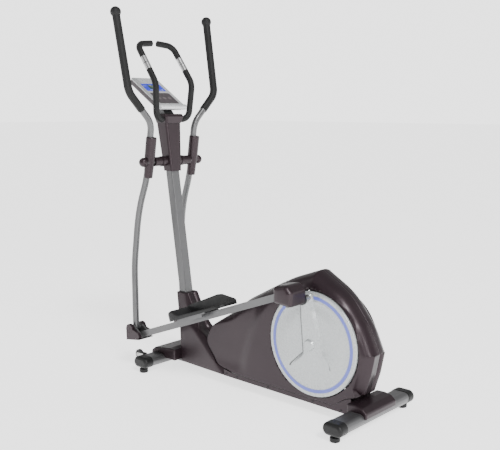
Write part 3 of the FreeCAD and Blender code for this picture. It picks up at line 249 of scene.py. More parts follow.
INSETS = (0.6, 1.6, 3, 5, 7.5, 11, 15, 20, 26, 33, 42)
HOLD = 1.5                                       # a loop this near each roll keeps the wall flat


def panel(outline, half, rounding, inner, hole=None, grid=11, insets=INSETS, closed=False):
    """A moulded panel on the left: a face over an outline, its edge rolled back to a wall.

    half(x, z) is the face's distance from y = 0; rounding(x, z) gives how far in the edge's roll
    reaches, how far back it drops and its power (2 for an ellipse, 1 for a chamfer); inner is the
    wall's other end; hole is (x, z, radius), and the loops keep clear of it. A closed panel has a
    flat back.
    """
    pts, normals = inward_normals(outline)
    count = len(pts)
    rolls = np.array([rounding(x, z) for x, z in pts])
    rings = [inset_ring(pts, normals, distance) for distance in insets]
    if hole:
        rings = [clear_of(ring, hole, 1 + 0.4 * (len(rings) - i)) for i, ring in enumerate(rings)]
    verts = [(x, -inner, z) for x, z in pts]
    for hold in (HOLD, 0):
        verts += [(x, -(half(x, z) - roll[1] - hold), z) for (x, z), roll in zip(pts, rolls)]
    for distance, ring in zip(insets, rings):
        for (x, z), (reach, depth, power) in zip(ring, rolls):
            left = max(0.0, 1 - distance / reach)
            drop = depth * (1 - (1 - left ** power) ** (1 / power))
            verts.append((x, -(half(x, z) - drop), z))
    faces = []
    for row in range(2 + len(insets)):
        for i in range(count):
            j = (i + 1) % count
            faces.append((row * count + i, row * count + j, (row + 1) * count + j, (row + 1) * count + i))
    if closed:
        faces.append(tuple(range(count)))
    return join((verts, faces), flat_region(rings[-1], half, hole, grid))


def flat_region(ring, half, hole, grid):
    """The middle of a panel: triangles between the last ring, the hole and a grid."""
    keep = [0]
    for i in range(1, len(ring)):
        if np.linalg.norm(ring[i] - ring[keep[-1]]) > 0.05:
            keep.append(i)
    edge = ring[keep]
    low = edge.min(axis=0)
    high = edge.max(axis=0)
    xs = np.arange(low[0] + grid / 2, high[0], grid)
    zs = np.arange(low[1] + grid / 2, high[1], grid)
    spots = np.array([(x + (grid / 2 if row % 2 else 0), z) for row, z in enumerate(zs) for x in xs])
    spots = spots[inside(spots, edge)]
    spots = spots[distance_to(spots, edge) > grid * 0.5]
    loops = [edge]
    if hole:
        angles = np.linspace(0, 2 * math.pi, 144, endpoint=False)
        circle = np.stack([hole[0] + hole[2] * np.cos(angles), hole[1] + hole[2] * np.sin(angles)], axis=1)
        away = np.hypot(spots[:, 0] - hole[0], spots[:, 1] - hole[1])
        spots = spots[away > hole[2] + grid * 0.5]
        loops.append(circle)
    points = []
    edges = []
    for loop in loops:
        start = len(points)
        points += [Vector(p) for p in loop]
        edges += [(start + i, start + (i + 1) % len(loop)) for i in range(len(loop))]
    points += [Vector(p) for p in spots]
    out, _edges, faces, _a, _b, _c = delaunay_2d_cdt(points, edges, [], 0, 1e-5)
    centres = np.array([np.mean([out[i][:] for i in face], axis=0) for face in faces])
    wanted = inside(centres, edge)
    if hole:
        wanted &= np.hypot(centres[:, 0] - hole[0], centres[:, 1] - hole[1]) > hole[2] * 0.999
    verts = [(p[0], -half(p[0], p[1]), p[1]) for p in out]
    return verts, [tuple(face) for face, want in zip(faces, wanted) if want]


def thicken(item, thickness):
    """Give a panel its wall thickness, inwards."""
    shell = item.modifiers.new("wall", "SOLIDIFY")
    shell.thickness = thickness * MM
    shell.offset = -1
    return item


# ---------------------------------------------------------------- materials

def new_material(name):
    """A material with only its Principled shader and output, and its object coordinates."""
    material = bpy.data.materials.new(name)
    material.use_nodes = True
    nodes = material.node_tree.nodes
    links = material.node_tree.links
    shader = nodes["Principled BSDF"]
    place = nodes.new("ShaderNodeTexCoord").outputs["Object"]
    return material, nodes, links, shader, place


def noise(nodes, links, place, scale, detail=3.0, stretch=None):
    """A noise texture's value output."""
    texture = nodes.new("ShaderNodeTexNoise")
    texture.inputs["Scale"].default_value = scale
    texture.inputs["Detail"].default_value = detail
    if stretch:
        mapping = nodes.new("ShaderNodeMapping")
        mapping.inputs["Scale"].default_value = stretch
        links.new(place, mapping.inputs["Vector"])
        place = mapping.outputs["Vector"]
    links.new(place, texture.inputs["Vector"])
    return texture.outputs["Fac"]


def cells(nodes, links, place, scale):
    """A cell texture's distance output."""
    texture = nodes.new("ShaderNodeTexVoronoi")
    texture.inputs["Scale"].default_value = scale
    links.new(place, texture.inputs["Vector"])
    return texture.outputs["Distance"]


def ranged(nodes, links, value, low, high, start=0.3, end=0.7):
    """A value mapped from its usual spread to a range."""
    mapped = nodes.new("ShaderNodeMapRange")
    mapped.inputs["From Min"].default_value = start
    mapped.inputs["From Max"].default_value = end
    mapped.inputs["To Min"].default_value = low
    mapped.inputs["To Max"].default_value = high
    links.new(value, mapped.inputs["Value"])
    return mapped.outputs["Result"]


def blended(nodes, links, factor, first, second):
    """A colour between two, by a factor."""
    mix = nodes.new("ShaderNodeMix")
    mix.data_type = "RGBA"
    mix.inputs["A"].default_value = (*first, 1)
    mix.inputs["B"].default_value = (*second, 1)
    links.new(factor, mix.inputs["Factor"])
    return mix.outputs["Result"]


def bumped(nodes, links, shader, height, distance, strength=1.0):
    """Fine relief on a shader."""
    bump = nodes.new("ShaderNodeBump")
    bump.inputs["Distance"].default_value = distance * MM
    bump.inputs["Strength"].default_value = strength
    links.new(height, bump.inputs["Height"])
    links.new(bump.outputs["Normal"], shader.inputs["Normal"])


def surface(name, colour, deep, rough, spread=0.05, metal=0.0, grain=900, relief=0.02, blotch=7,
            coat=0.0, sheen=0.0, cellular=False, stretch=None, shine=0.5):
    """A moulded, painted or brushed surface: drifting colour, uneven gloss and fine relief."""
    material, nodes, links, shader, place = new_material(name)
    shader.inputs["Metallic"].default_value = metal
    shader.inputs["Coat Weight"].default_value = coat
    shader.inputs["Coat Roughness"].default_value = 0.12
    shader.inputs["Sheen Weight"].default_value = sheen
    shader.inputs["Specular IOR Level"].default_value = shine
    drift = ranged(nodes, links, noise(nodes, links, place, blotch), 0, 1)
    links.new(blended(nodes, links, drift, colour, deep), shader.inputs["Base Color"])
    uneven = noise(nodes, links, place, blotch * 9, 5.0, stretch)
    links.new(ranged(nodes, links, uneven, rough - spread, rough + spread), shader.inputs["Roughness"])
    if cellular:
        height = cells(nodes, links, place, grain)
    else:
        height = noise(nodes, links, place, grain, 2.0, stretch)
    bumped(nodes, links, shader, height, relief)
    return material


def flaked(name, colour, deep, glint, rough):
    """Metallic-effect gloss moulding: a tinted base with fine bright flakes under a clear coat."""
    material, nodes, links, shader, place = new_material(name)
    shader.inputs["Metallic"].default_value = 0.45
    shader.inputs["Specular IOR Level"].default_value = 0.35
    shader.inputs["Coat Weight"].default_value = 0.12
    shader.inputs["Coat Roughness"].default_value = 0.2
    drift = ranged(nodes, links, noise(nodes, links, place, 5), 0, 1)
    base = blended(nodes, links, drift, colour, deep)
    mix = nodes.new("ShaderNodeMix")
    mix.data_type = "RGBA"
    flakes = ranged(nodes, links, cells(nodes, links, place, 900), 0.2, 0.0, 0.0, 0.3)
    links.new(flakes, mix.inputs["Factor"])
    links.new(base, mix.inputs["A"])
    mix.inputs["B"].default_value = (*glint, 1)
    links.new(mix.outputs["Result"], shader.inputs["Base Color"])
    uneven = noise(nodes, links, place, 60, 4.0)
    links.new(ranged(nodes, links, uneven, rough - 0.03, rough + 0.03), shader.inputs["Roughness"])
    bumped(nodes, links, shader, noise(nodes, links, place, 110, 2.0), 0.006)
    return material


MATERIALS = {
    "shroud_gloss": flaked("shroud_gloss", (0.027, 0.017, 0.021), (0.022, 0.013, 0.017),
                           (0.075, 0.056, 0.064), 0.35),
    "frame_silver": surface("frame_silver", (0.13, 0.13, 0.132), (0.112, 0.112, 0.115), 0.34, metal=0.7,
                            grain=700, relief=0.02),
    "disc_silver": surface("disc_silver", (0.43, 0.45, 0.455), (0.39, 0.41, 0.415), 0.27, metal=0.3,
                           grain=1200, relief=0.008, coat=0.2),
    "ring_blue": surface("ring_blue", (0.11, 0.135, 0.52), (0.09, 0.115, 0.46), 0.34, grain=900, relief=0.006,
                         coat=0.3),
    "foam_black": surface("foam_black", (0.007, 0.007, 0.007), (0.012, 0.012, 0.0125), 0.55, grain=620,
                          relief=0.10, sheen=0.02, cellular=True, shine=0.22),
    "black_plastic": surface("black_plastic", (0.009, 0.009, 0.009), (0.014, 0.014, 0.015), 0.40, grain=950,
                             relief=0.09, cellular=True, shine=0.25),
    "console_silver": surface("console_silver", (0.62, 0.63, 0.64), (0.58, 0.59, 0.60), 0.30, metal=0.35,
                              grain=1300, relief=0.008, coat=0.2),
    "console_dark": surface("console_dark", (0.045, 0.038, 0.042), (0.060, 0.050, 0.055), 0.42, grain=1000,
                            relief=0.05, cellular=True),
    "display": surface("display", (0.020, 0.035, 0.62), (0.028, 0.050, 0.70), 0.28, spread=0.03, grain=2000,
                       relief=0.003, coat=0.1, shine=0.2),
    "key_rubber": surface("key_rubber", (0.14, 0.12, 0.125), (0.11, 0.095, 0.10), 0.5, grain=1400,
                          relief=0.02),
    "plate_steel": surface("plate_steel", (0.66, 0.66, 0.66), (0.56, 0.56, 0.57), 0.26, metal=1.0, grain=260,
                           relief=0.02, stretch=(1, 1, 14)),
    "zinc_steel": surface("zinc_steel", (0.50, 0.50, 0.49), (0.40, 0.40, 0.40), 0.34, metal=1.0, grain=300,
                          relief=0.02, blotch=30),
    "cast": surface("cast", (0.10, 0.10, 0.10), (0.07, 0.07, 0.072), 0.5, metal=0.9, grain=500, relief=0.08),
    "wheel_black": surface("wheel_black", (0.013, 0.013, 0.014), (0.022, 0.022, 0.023), 0.6, grain=800,
                           relief=0.04),
    "belt_black": surface("belt_black", (0.014, 0.014, 0.014), (0.022, 0.022, 0.022), 0.65, grain=900,
                          relief=0.05),
    "display_dark": surface("display_dark", (0.006, 0.05, 0.02), (0.008, 0.065, 0.028), 0.2, spread=0.03,
                            grain=2000, relief=0.003, coat=0.8),
    "display_pale": surface("display_pale", (0.40, 0.48, 0.80), (0.36, 0.44, 0.78), 0.2, spread=0.03,
                            grain=2000, relief=0.003, coat=0.8),
}


def dress_cad_nodes():
    """Give every CAD node its slot's material."""
    slots = {entry["node"]: entry["material_slot"] for entry in frame["record"]["subparts"]}
    for name, item in NODES.items():
        item.data.materials.clear()
        item.data.materials.append(MATERIALS[slots[name]])


dress_cad_nodes()


# ---------------------------------------------------------------- drive shroud

# The shroud's side view from the crank's centre, as (x, z, radius) corners.
NOSE = [(-444, -224, 60), (-547, -204, 60), (-625, -112, 45), (-587, -36, 90)]
BACK = [(-395, 110, 400), (-144, 246, 500), (-5, 298, 10), (133, 220, 300), (233, 92, 260), (275, -2, 10),
        (258, -87, 100)]
NECK = [(231, -170, 8), (163, -194, 30), (103, -234, 40)]
CORNER_X = 215                                   # beyond here and below the corner, the back is chamfered
CREASE_X = -300                                  # where the nose begins to narrow, at the crank's height
CREASE_LEAN = math.radians(24)
CREASE_BOW = 700                                 # the crease is part of a circle of this radius
NOSE_SLOPE = 0.03
CREASE_STEP = 8                                  # how much the panel drops just beyond the crease
CREASE_WIDTH = 6
SHROUD_HALF = -box("side_shroud_left")[0].y
DISC_RADIUS = box("crank_disc_left")[1].x - CRANK.x
GROOVE = 4                                       # between the disc and the shroud
SEAM_HALF = 0.3                                  # each half stops this far from the middle plane
SHROUD_WALL = 3


def from_crank(corners):
    """Corners counted from the crank's centre, in the frame's own millimetres."""
    return [(x + CRANK.x, z + CRANK.z, radius) for x, z, radius in corners]


def beyond_crease(x, z):
    """How far a point lies towards the nose from the crease."""
    height = z - CRANK.z
    line = (CREASE_X + CRANK.x - x) * math.cos(CREASE_LEAN) + height * math.sin(CREASE_LEAN)
    ahead = line + height * height / (2 * CREASE_BOW)
    return (ahead + math.hypot(ahead, CREASE_WIDTH)) / 2


def shroud_half_width(x, z):
    """The side panel's distance from the middle plane."""
    beyond = beyond_crease(x, z)
    step = CREASE_STEP * ease(z - CRANK.z, -232, -165)
    return SHROUD_HALF - NOSE_SLOPE * beyond - step * ease(beyond, 0, 60)


def shroud_roll(x, z):
    """The panel's edge rolls over widely along the back, and hardly at all at the seam below."""
    height = z - CRANK.z
    along = x - CRANK.x
    if along > CORNER_X and height < -4:
        return 40, 34, 1.15
    share = ease(height, -40, 60) if along < 0 else ease(height, -40, -10)
    return 4 + 38 * share, 3 + 62 * share, 2


def shroud_panels():
    """Both halves of the drive shroud."""
    outline = resample(rounded(from_crank(NOSE + BACK + NECK)), 6)
    opening = (CRANK.x, CRANK.z, DISC_RADIUS + GROOVE)
    mesh = panel(outline, shroud_half_width, shroud_roll, SEAM_HALF, opening)
    for name, side in SIDES:
        item = piece(f"shroud_panel_{name}", *mirror(mesh, side), MATERIALS["shroud_gloss"], "frame",
                     "shroud_gloss", angle=48, merge=0.3)
        thicken(item, SHROUD_WALL)
        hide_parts(f"side_shroud_{name}")


# The boot round the mast's foot: height, front x, rear x, half width at the front and at the rear.
BOOT = np.array([(-245, -791, -497, 52, 70), (-204, -791, -497, 52, 70), (-180, -793, -527, 50, 69),
                 (-67, -809, -679, 44, 57), (84, -833, -761, 38, 40)])
BOOT_SEAM = 1.6
# Corners of the crease down the boot's side, as (x, z) from the crank; behind it the boot narrows.
BOOT_CREASE = [(-778, 90), (-732, -50), (-589, -171)]
BOOT_NARROWING = 0.6
BOOT_WALL = 2.5
NOSE_TOP = -106                                  # the boot meets the nose below this height


def behind_boot_crease(x, z):
    """How far a point of the boot's side lies behind its crease."""
    distances = []
    for start, end in zip(BOOT_CREASE, BOOT_CREASE[1:]):
        along = (Vector(end) - Vector(start)).normalized()
        distances.append(-along.y * (x - CRANK.x - start[0]) + along.x * (z - CRANK.z - start[1]))
    nearest = min(distances)
    return (nearest + math.hypot(nearest, 3)) / 2


def boot_half_width(x, z):
    """The boot's half width: it flares towards the rear and towards the floor."""
    row = [np.interp(z - CRANK.z, BOOT[:, 0], BOOT[:, i]) for i in range(1, 5)]
    share = min(1.0, max(0.0, (x - CRANK.x - row[0]) / (row[1] - row[0])))
    return float(row[2] + (row[3] - row[2]) * share) - BOOT_NARROWING * behind_boot_crease(x, z)


def nose_line():
    """The shroud's nose from above the boot down to the skirt, moved out by the seam's width."""
    outline = resample(rounded(from_crank(NOSE + BACK + NECK), 14), 5)
    pts, normals = inward_normals(outline)
    moved = pts - normals * BOOT_SEAM
    low_end = CRANK.x + BOOT[0][2]
    line = [Vector(p) for p in moved if p[0] < low_end and p[1] < CRANK.z + NOSE_TOP]
    return sorted(line, key=lambda p: -p.y)


def boot():
    """The boot: both sides in one piece, hugging the shroud's nose."""
    corners = [(-497, -245, 0), (-791, -245, 0), (-809, -67, 60), (-833, 84, 3), (-761, 84, 3),
               (-679, -67, 60)]
    outline = resample(rounded(from_crank(corners)) + nose_line(), 7)
    mesh = panel(outline, boot_half_width, lambda x, z: (3, 3, 2), SEAM_HALF,
                 insets=(0.3, 0.8, 1.5, 2.3, 3.1))
    for name, side in SIDES:
        item = piece(f"boot_{name}", *mirror(mesh, side), MATERIALS["shroud_gloss"], "frame", "shroud_gloss",
                     angle=40, merge=0.3)
        thicken(item, BOOT_WALL)
        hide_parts("front_cover")


shroud_panels()
boot()


# ---------------------------------------------------------------- crank discs

DISC_BACK = 64
DISC_FACE = 78
FAIRING_BACK = 73.5                              # under the disc's face, clear of the shroud's panel
DOME_RISE = 5
DOME_FOOT = 176                                  # the radius where the face begins to rise
RING_LOW = 187                                   # the coloured ring's inner edge
FAIRING_RISE = 11
FAIRING_EDGE = 13                                # the width of the fairing's sloping edge
PAINTED_SHADE_SHIFT = 1.6                                       # how far the dark strip shows past the fairing's left edge: painted shade for the groove's shadow
CRANK_RADIUS = 191                               # from the crank's centre to a pin
# The fairing's outline from the crank with the pin straight up, as (across, up, radius) corners.
FAIRING = [(-43, -33, 6), (-43, 168, 30), (-24, 212, 16), (14, 212, 16), (98, -120, 20), (0, -168, 40),
           (-80, -146, 30), (-134, -103, 20)]


def dome(u, v):
    """The left disc's face, from y = 0, at a point counted from the crank with the pin straight up."""
    radius = math.hypot(u, v)
    height = DISC_FACE + DOME_RISE * ease(radius, DOME_FOOT, 120)
    height -= 1.2 * math.exp(-((radius - RING_LOW + 3) / 1.5) ** 2)
    height -= 2.2 * ease(radius, DISC_RADIUS - 3.5, DISC_RADIUS)
    return height


def fairing_top(u, v):
    """The fairing's face: level above the crank, sinking into the disc's dome below it."""
    if v > 0:
        return DISC_FACE + DOME_RISE + FAIRING_RISE
    return dome(u, v) - 3 + (FAIRING_RISE + 3) * ease(v, -150, -15)


def painted_shade_top(u, v):
    """The painted shade strip, just proud of the dome until the fairing sinks."""
    return dome(u, v) + 0.3 - 3 * ease(v, -95, -118)


def fairing_edge(u, v):
    """The fairing's edge slopes down just to the dome, so it thins out where the fairing sinks."""
    return FAIRING_EDGE, max(fairing_top(u, v) - dome(u, v), 0) + 0.8, 1


def fairing_mesh():
    """The raised fairing from the pin to below the hub, with its edges sloping down to the disc."""
    outline = resample(rounded(FAIRING), 4)
    return panel(outline, fairing_top, fairing_edge, FAIRING_BACK, grid=8,
                 insets=(0.5, 3, 6.5, 10, 12.9, 13.4, 16))


def painted_shade_mesh():
    """A thin dark strip along the fairing's left edge: painted shade where the groove lies in shadow, on the side
    away from the light.
    """
    shifted = [(u - PAINTED_SHADE_SHIFT, v, radius) for u, v, radius in FAIRING]
    outline = resample(rounded(shifted), 4)
    return panel(outline, painted_shade_top, lambda u, v: (0.5, 0.5, 1), FAIRING_BACK, grid=8, insets=(0.3, 0.6, 8))


def disc_mesh(rings=72, spokes=240):
    """The left disc's face as a polar grid, with its rim turned back."""
    verts = []
    faces = []
    for row in range(rings + 1):
        radius = 1 + (DISC_RADIUS - 1) * row / rings
        for step in range(spokes):
            angle = 2 * math.pi * step / spokes
            u, v = radius * math.cos(angle), radius * math.sin(angle)
            verts.append((u, -dome(u, v), v))
    for step in range(spokes):
        angle = 2 * math.pi * step / spokes
        verts.append((DISC_RADIUS * math.cos(angle), -DISC_BACK, DISC_RADIUS * math.sin(angle)))
    for row in range(rings + 1):
        for step in range(spokes):
            a = row * spokes + step
            b = row * spokes + (step + 1) % spokes
            faces.append((a, b, b + spokes, a + spokes))
    faces.append(tuple(range(spokes))[::-1])
    return verts, faces


def crank_pin(side):
    """Where a pedal arm turns on its crank: from the line between lower joint and crank."""
    line = Vector((CRANK.x - KNEE.x, CRANK.z - KNEE.z)).normalized()
    square = Vector((-line.y, line.x))
    return Vector((CRANK.x, CRANK.z)) + square * (CRANK_RADIUS * -side)


def turned_to_pin(mesh, pin):
    """A mesh drawn round the crank with the pin straight up, turned to where the pin is."""
    turn = math.atan2(pin.x - CRANK.x, pin.y - CRANK.z)
    verts = []
    for u, y, v in mesh[0]:
        verts.append((CRANK.x + u * math.cos(turn) + v * math.sin(turn), y,
                      CRANK.z - u * math.sin(turn) + v * math.cos(turn)))
    return verts, mesh[1]


def crank_discs():
    """Both discs with their fairings, hub caps and dark strips of painted shade along the fairings' left edges."""
    disc = disc_mesh()
    fairing = fairing_mesh()
    painted_shade = painted_shade_mesh()
    top = DISC_FACE + DOME_RISE + FAIRING_RISE
    profile = [(top - 4, 25), (top + 0.5, 25), (top + 8, 20), (top + 9, 18.5), (top + 9, 0.5)]
    cap = turned(profile, Vector((CRANK.x, 0, CRANK.z)), (0, -1, 0), 48)
    for name, side in SIDES:
        pin = crank_pin(side)
        face = piece(f"disc_face_{name}", *mirror(turned_to_pin(disc, pin), side), MATERIALS["disc_silver"],
                     "crank", "disc_silver", angle=60)
        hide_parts(f"crank_disc_{name}")
        piece(f"disc_fairing_{name}", *mirror(turned_to_pin(fairing, pin), side), MATERIALS["disc_silver"],
              "crank", "disc_silver", angle=20, merge=0.1)
        # A dark strip beside each fairing's left edge: painted shade, not a part of the disc.
        piece(f"disc_painted_shade_{name}", *mirror(turned_to_pin(painted_shade, pin), side), MATERIALS["cast"], "crank",
              "cast", angle=40, merge=0.1)
        piece(f"disc_cap_{name}", *mirror(cap, side), MATERIALS["disc_silver"], "crank", "disc_silver", 20)


crank_discs()


# ---------------------------------------------------------------- pedal arm ends

PEDAL_DROP = 44                                  # the pedal arm's line below the lower joint
PEDAL_RISE = 38                                  # the same line above the crank pin
PEDAL_HALF = 15
HUB_BELOW = 16                                   # how far the cover hangs below the pin
TRAY_LIFT = 5
TRAY_LENGTH = 350
TRAY_FLOOR = 6
TREADS = 7
TRAY_INSETS = (0, 0.5, 1.4, 3, 4.5, 6, 8, 11, 15, 20)


def hub_covers():
    """The moulded covers over the pedal arms' rear ends, with softly rounded outer edges."""
    for name, side in SIDES:
        pin = crank_pin(side)
        low, high = box(f"hub_cover_{name}")
        inner, outer = sorted((abs(low.y), abs(high.y)))
        under = pin.y - HUB_BELOW
        corners = [(pin.x - 70, under + 6, 12), (pin.x + 20, under, 12), (high.x, pin.y + 44, 16),
                   (pin.x - 4, high.z, 22), (low.x, high.z - 12, 18)]
        outline = resample(rounded(corners), 3)
        middle = (low.x + high.x) / 2

        def half(x, _z):
            return outer - 3 * ((x - middle) / 48) ** 2

        mesh = panel(outline, half, lambda x, z: (18, 22, 2), inner, grid=6,
                     insets=(0.5, 1.4, 2.8, 5, 8, 12, 18), closed=True)
        item = piece(f"hub_shell_{name}", *mirror(mesh, side), MATERIALS["shroud_gloss"], f"pedal_{name}",
                     "shroud_gloss", angle=50, merge=0.15)
        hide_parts(f"hub_cover_{name}")


def hub_seals():
    """Black seals round the pedal arms' bushes, between the cover and the crank's boss."""
    for name, side in SIDES:
        pin = crank_pin(side)
        start = min(abs(corner.y) for corner in box(f"hub_bearing_{name}"))
        end = min(abs(corner.y) for corner in box(f"hub_cover_{name}"))
        profile = [(start, 17), (start, 20.5), (start + 1.5, 22), (end - 1, 22), (end, 21), (end, 17)]
        ring = turned(profile, Vector((pin.x, 0, pin.y)), (0, -1, 0), 48)
        piece(f"hub_seal_{name}", *mirror(ring, side), MATERIALS["black_plastic"], f"pedal_{name}",
              "black_plastic", 35)


def tray_height(along, across, inset):
    """The footplate's upper surface: a closed toe, a tall inner wall, a low outer lip and a floor."""
    tall = float(np.interp(along, (-5, 20, 238, 266, 355), (44, 50, 62, 58, 14)))
    lip = float(np.interp(along, (38, 60, 80, 355), (48, 24, 16, 12)))
    rim = min(tall, lip + (tall - lip) * ease(across, 0.45, 0.95))
    floor = TRAY_FLOOR + 40 * (1 - ease(along, 34, 66))
    reach = 3 + 15 * (1 - ease(along, 16, 60))
    left = max(0.0, 1 - inset / reach)
    roll = reach * (1 - math.sqrt(1 - left * left))
    wall = 1 - ease(inset, 4.5, 8)
    return max(floor + (rim - floor) * wall - roll, TRAY_FLOOR)


def tray_mesh(inner, outer):
    """A footplate in its own plane, as (along, -height, distance from the middle plane)."""
    outline = resample(rounded([(0, outer, 26), (TRAY_LENGTH, outer, 34), (TRAY_LENGTH, inner, 22),
                                (0, inner, 26)]), 5)
    pts, normals = inward_normals(outline)
    count = len(pts)
    verts = [(along, 0, out) for along, out in pts]

    def height(along, out, inset):
        return tray_height(along, (outer - out) / (outer - inner), inset)

    rings = [pts if inset == 0 else inset_ring(pts, normals, inset) for inset in TRAY_INSETS]
    for inset, ring in zip(TRAY_INSETS, rings):
        verts += [(along, -height(along, out, inset), out) for along, out in ring]
    faces = [tuple(range(count))]
    for row in range(len(TRAY_INSETS)):
        for i in range(count):
            j = (i + 1) % count
            faces.append((row * count + i, row * count + j, (row + 1) * count + j, (row + 1) * count + i))
    floor = flat_region(rings[-1], lambda along, out: height(along, out, TRAY_INSETS[-1]), None, 9)
    mesh = join((verts, faces), floor)
    for step in range(TREADS):
        middle = inner + (outer - inner) * (0.22 + 0.56 * step / (TREADS - 1))
        mesh = join(mesh, tread(middle))
    return mesh


def tread(middle):
    """One rounded rib of the footplate's tread."""
    rings = []
    for along, share in ((84, 0.2), (86, 1), (326, 1), (328, 0.2)):
        top = TRAY_FLOOR + 2.2 * share
        rings.append([(along, -(TRAY_FLOOR - 1), middle - 4), (along, -top + 0.8, middle - 3),
                      (along, -top, middle - 2), (along, -top, middle + 2), (along, -top + 0.8, middle + 3),
                      (along, -(TRAY_FLOOR - 1), middle + 4)])
    return loft(rings)


def footplates():
    """Both footplates, laid on their pedal arms at the arms' slopes."""
    for name, side in SIDES:
        inner, outer = sorted(abs(corner.y) for corner in box(f"footplate_{name}"))
        pin = crank_pin(side)
        slope = math.atan2(pin.y + PEDAL_RISE - KNEE.z + PEDAL_DROP, pin.x - KNEE.x)
        start = box("footplate_right")[0].x
        level = KNEE.z - PEDAL_DROP + (start - KNEE.x) * math.tan(slope)
        level += PEDAL_HALF / math.cos(slope) + TRAY_LIFT
        verts, faces = tray_mesh(inner, outer)
        placed = [(start + along * math.cos(slope) + down * math.sin(slope), -out,
                   level + along * math.sin(slope) - down * math.cos(slope)) for along, down, out in verts]
        item = piece(f"footplate_shell_{name}", *mirror((placed, faces), side), MATERIALS["black_plastic"],
                     f"pedal_{name}", "black_plastic", angle=40, merge=0.1)
        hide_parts(f"footplate_{name}")


def joint_caps():
    """Round caps over the lower joints' bolts, inside and outside each swing arm."""
    span = abs(box("joint_cover_left")[0].y + box("joint_cover_left")[1].y) / 2
    reach = (box("joint_cover_left")[1].y - box("joint_cover_left")[0].y) / 2
    profile = [(reach - 14, 22.6), (reach - 1, 22.6), (reach + 1, 21), (reach + 1, 18.5), (reach - 0.6, 17),
               (reach - 0.2, 6), (reach + 0.6, 5), (reach + 0.8, 0.5)]
    for name, side in SIDES:
        centre = Vector((KNEE.x, -span, KNEE.z))
        outer = turned(profile, centre, (0, -1, 0), 48)
        inner = turned(profile, centre, (0, 1, 0), 48)
        piece(f"joint_caps_{name}", *mirror(join(outer, inner), side), MATERIALS["shroud_gloss"],
              f"pedal_{name}", "shroud_gloss", 35)


hub_covers()
hub_seals()
footplates()
joint_caps()


# ---------------------------------------------------------------- console detail

KEY = JOINTS["key_enter_press"]
SCREEN_OUT = -Vector(KEY["axis"]).normalized()
if SCREEN_OUT.z < 0:
    SCREEN_OUT = -SCREEN_OUT
SCREEN_UP = Vector((-SCREEN_OUT.z, 0, SCREEN_OUT.x))
SCREEN_ACROSS = Vector((0, 1, 0))
FIELD_LOW = 24                                   # the key field, along the slope from the lower edge
FIELD_HIGH = 118
FIELD_HALF = 64
KEY_LEVEL = 70
KEY_MIDDLE = sum(box("key_enter"), Vector()) / 2
CONSOLE_EDGE = KEY_MIDDLE - SCREEN_UP * KEY_LEVEL


def on_console(along, across, out):
    """A point on the console from its lower edge, across from its middle, and out of its face."""
    return CONSOLE_EDGE + SCREEN_UP * along + SCREEN_ACROSS * across + SCREEN_OUT * out


def plate(low, high, half, radius, level, thickness, offset=0.0):
    """A thin rounded plate on the console, with a softened top edge."""
    corners = [(low, offset - half, radius), (high, offset - half, radius), (high, offset + half, radius),
               (low, offset + half, radius)]
    outline = resample(rounded(corners, 6), 3)
    centre = Vector(((low + high) / 2, offset))
    rings = []
    for shrink, rise in ((0.0, -1.0), (0.0, thickness * 0.4), (0.4, thickness)):
        ring = []
        for p in outline:
            q = p + (centre - p).normalized() * shrink
            ring.append(on_console(q.x, q.y, level + rise))
        rings.append(ring)
    return loft(rings)


def console_detail():
    """The dark key field, and the plain block and bars shown on the display."""
    field = plate(FIELD_LOW, FIELD_HIGH, FIELD_HALF, 6, -0.3, 0.8)
    piece("key_field", *field, MATERIALS["console_dark"], "frame", "console_dark", 30)
    block = plate(150, 186, 17, 2, 0.0, 0.3, -8)
    piece("display_block", *block, MATERIALS["display_dark"], "frame", "display", 30)
    bars = [plate(138, 141 + 4 * (i % 3), 3, 0.8, 0.0, 0.3, -44 + 11 * i) for i in range(9)]
    bars += [plate(176, 179, 10, 0.8, 0.0, 0.3, spot) for spot in (-44, 28)]
    piece("display_bars", *join(*bars), MATERIALS["display_pale"], "frame", "display", 30)


console_detail()


# ---------------------------------------------------------------- studio

ROOM_LIGHT = 0.5
FLOOR_GLOW = 1.6
FLOOR_REACH = 60
BACKDROP_LIGHT = 2.7                             # seen only by the camera, to match the floor


def area_light(name, place, target, width, height, power):
    """A soft box aimed at a point."""
    data = bpy.data.lights.new(name, "AREA")
    data.shape = "RECTANGLE"
    data.size = width
    data.size_y = height
    data.energy = power
    lamp = bpy.data.objects.new(name, data)
    lamp.location = place
    lamp.rotation_euler = (Vector(target) - Vector(place)).to_track_quat("-Z", "Y").to_euler()
    bpy.context.scene.collection.objects.link(lamp)


def sun_light(name, place, power, softness):
    """Even light from one direction over the object and the whole floor."""
    data = bpy.data.lights.new(name, "SUN")
    data.energy = power
    data.angle = math.radians(softness)
    lamp = bpy.data.objects.new(name, data)
    lamp.rotation_euler = (-Vector(place)).to_track_quat("-Z", "Y").to_euler()
    bpy.context.scene.collection.objects.link(lamp)


def pale_floor():
    """A wide, pale floor that glows a little."""
    mesh = bpy.data.meshes.new("floor")
    corners = [(x * FLOOR_REACH, y * FLOOR_REACH, 0) for x, y in ((-1, -1), (1, -1), (1, 1), (-1, 1))]
    mesh.from_pydata(corners, [], [(0, 1, 2, 3)])
    floor = bpy.data.objects.new("floor", mesh)
    material = surface("floor_pale", (0.93, 0.93, 0.93), (0.91, 0.91, 0.91), 0.7, grain=40, relief=0.02,
                       blotch=1)
    shader = material.node_tree.nodes["Principled BSDF"]
    shader.inputs["Emission Color"].default_value = (1, 1, 1, 1)
    shader.inputs["Emission Strength"].default_value = FLOOR_GLOW
    mesh.materials.append(material)
    bpy.context.scene.collection.objects.link(floor)


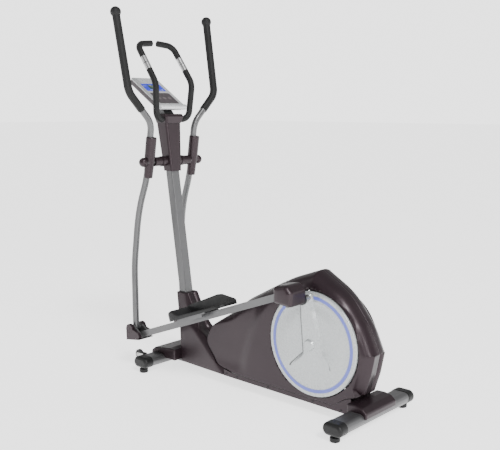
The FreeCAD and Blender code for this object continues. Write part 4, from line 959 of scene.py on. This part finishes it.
def white_room():
    """A dim white room behind a backdrop that matches the floor."""
    world = bpy.data.worlds.new("room")
    world.use_nodes = True
    nodes = world.node_tree.nodes
    links = world.node_tree.links
    room = nodes["Background"]
    room.inputs["Color"].default_value = (1, 1, 1, 1)
    room.inputs["Strength"].default_value = ROOM_LIGHT
    backdrop = nodes.new("ShaderNodeBackground")
    backdrop.inputs["Color"].default_value = (1, 1, 1, 1)
    backdrop.inputs["Strength"].default_value = BACKDROP_LIGHT
    mix = nodes.new("ShaderNodeMixShader")
    seen = nodes.new("ShaderNodeLightPath").outputs["Is Camera Ray"]
    links.new(seen, mix.inputs[0])
    links.new(room.outputs[0], mix.inputs[1])
    links.new(backdrop.outputs[0], mix.inputs[2])
    links.new(mix.outputs[0], nodes["World Output"].inputs["Surface"])
    bpy.context.scene.world = world


def lamps():
    """Soft boxes round the object and even light from above."""
    middle = (0.1, 0, 0.6)
    area_light("key", (3.3, -3.2, 2.7), middle, 0.6, 2.6, 80)
    area_light("edge", (4.6, -1.1, 1.5), (0.4, 0, 0.3), 0.7, 1.6, 45)
    area_light("rear", (3.2, 3.0, 1.5), middle, 1.4, 2.0, 15)
    area_light("side", (-2.6, -2.6, 2.6), middle, 1.0, 2.0, 12)
    sun_light("sky", (1.9, -0.9, 2.2), 2.1, 14)


pale_floor()
white_room()
lamps()


# ---------------------------------------------------------------- camera

VIEW_PLACE = (2.3102, -2.600, 1.235)
VIEW_YAW = 41.586                                # degrees round from +Y
VIEW_PITCH = 8.238                               # degrees below level
VIEW_ROLL = 0.149
LENS = 57.95


def camera():
    """The view from behind and to the left of the user."""
    data = bpy.data.cameras.new("camera")
    data.lens = LENS
    data.sensor_width = 36
    item = bpy.data.objects.new("camera", data)
    item.location = VIEW_PLACE
    yaw = math.radians(VIEW_YAW)
    pitch = math.radians(VIEW_PITCH)
    ahead = Vector((-math.sin(yaw) * math.cos(pitch), math.cos(yaw) * math.cos(pitch), -math.sin(pitch)))
    turn = ahead.to_track_quat("-Z", "Y").to_matrix() @ Matrix.Rotation(math.radians(VIEW_ROLL), 3, "Z")
    item.rotation_euler = turn.to_euler()
    bpy.context.scene.collection.objects.link(item)
    bpy.context.scene.camera = item


camera()


bpy.context.view_layer.update()
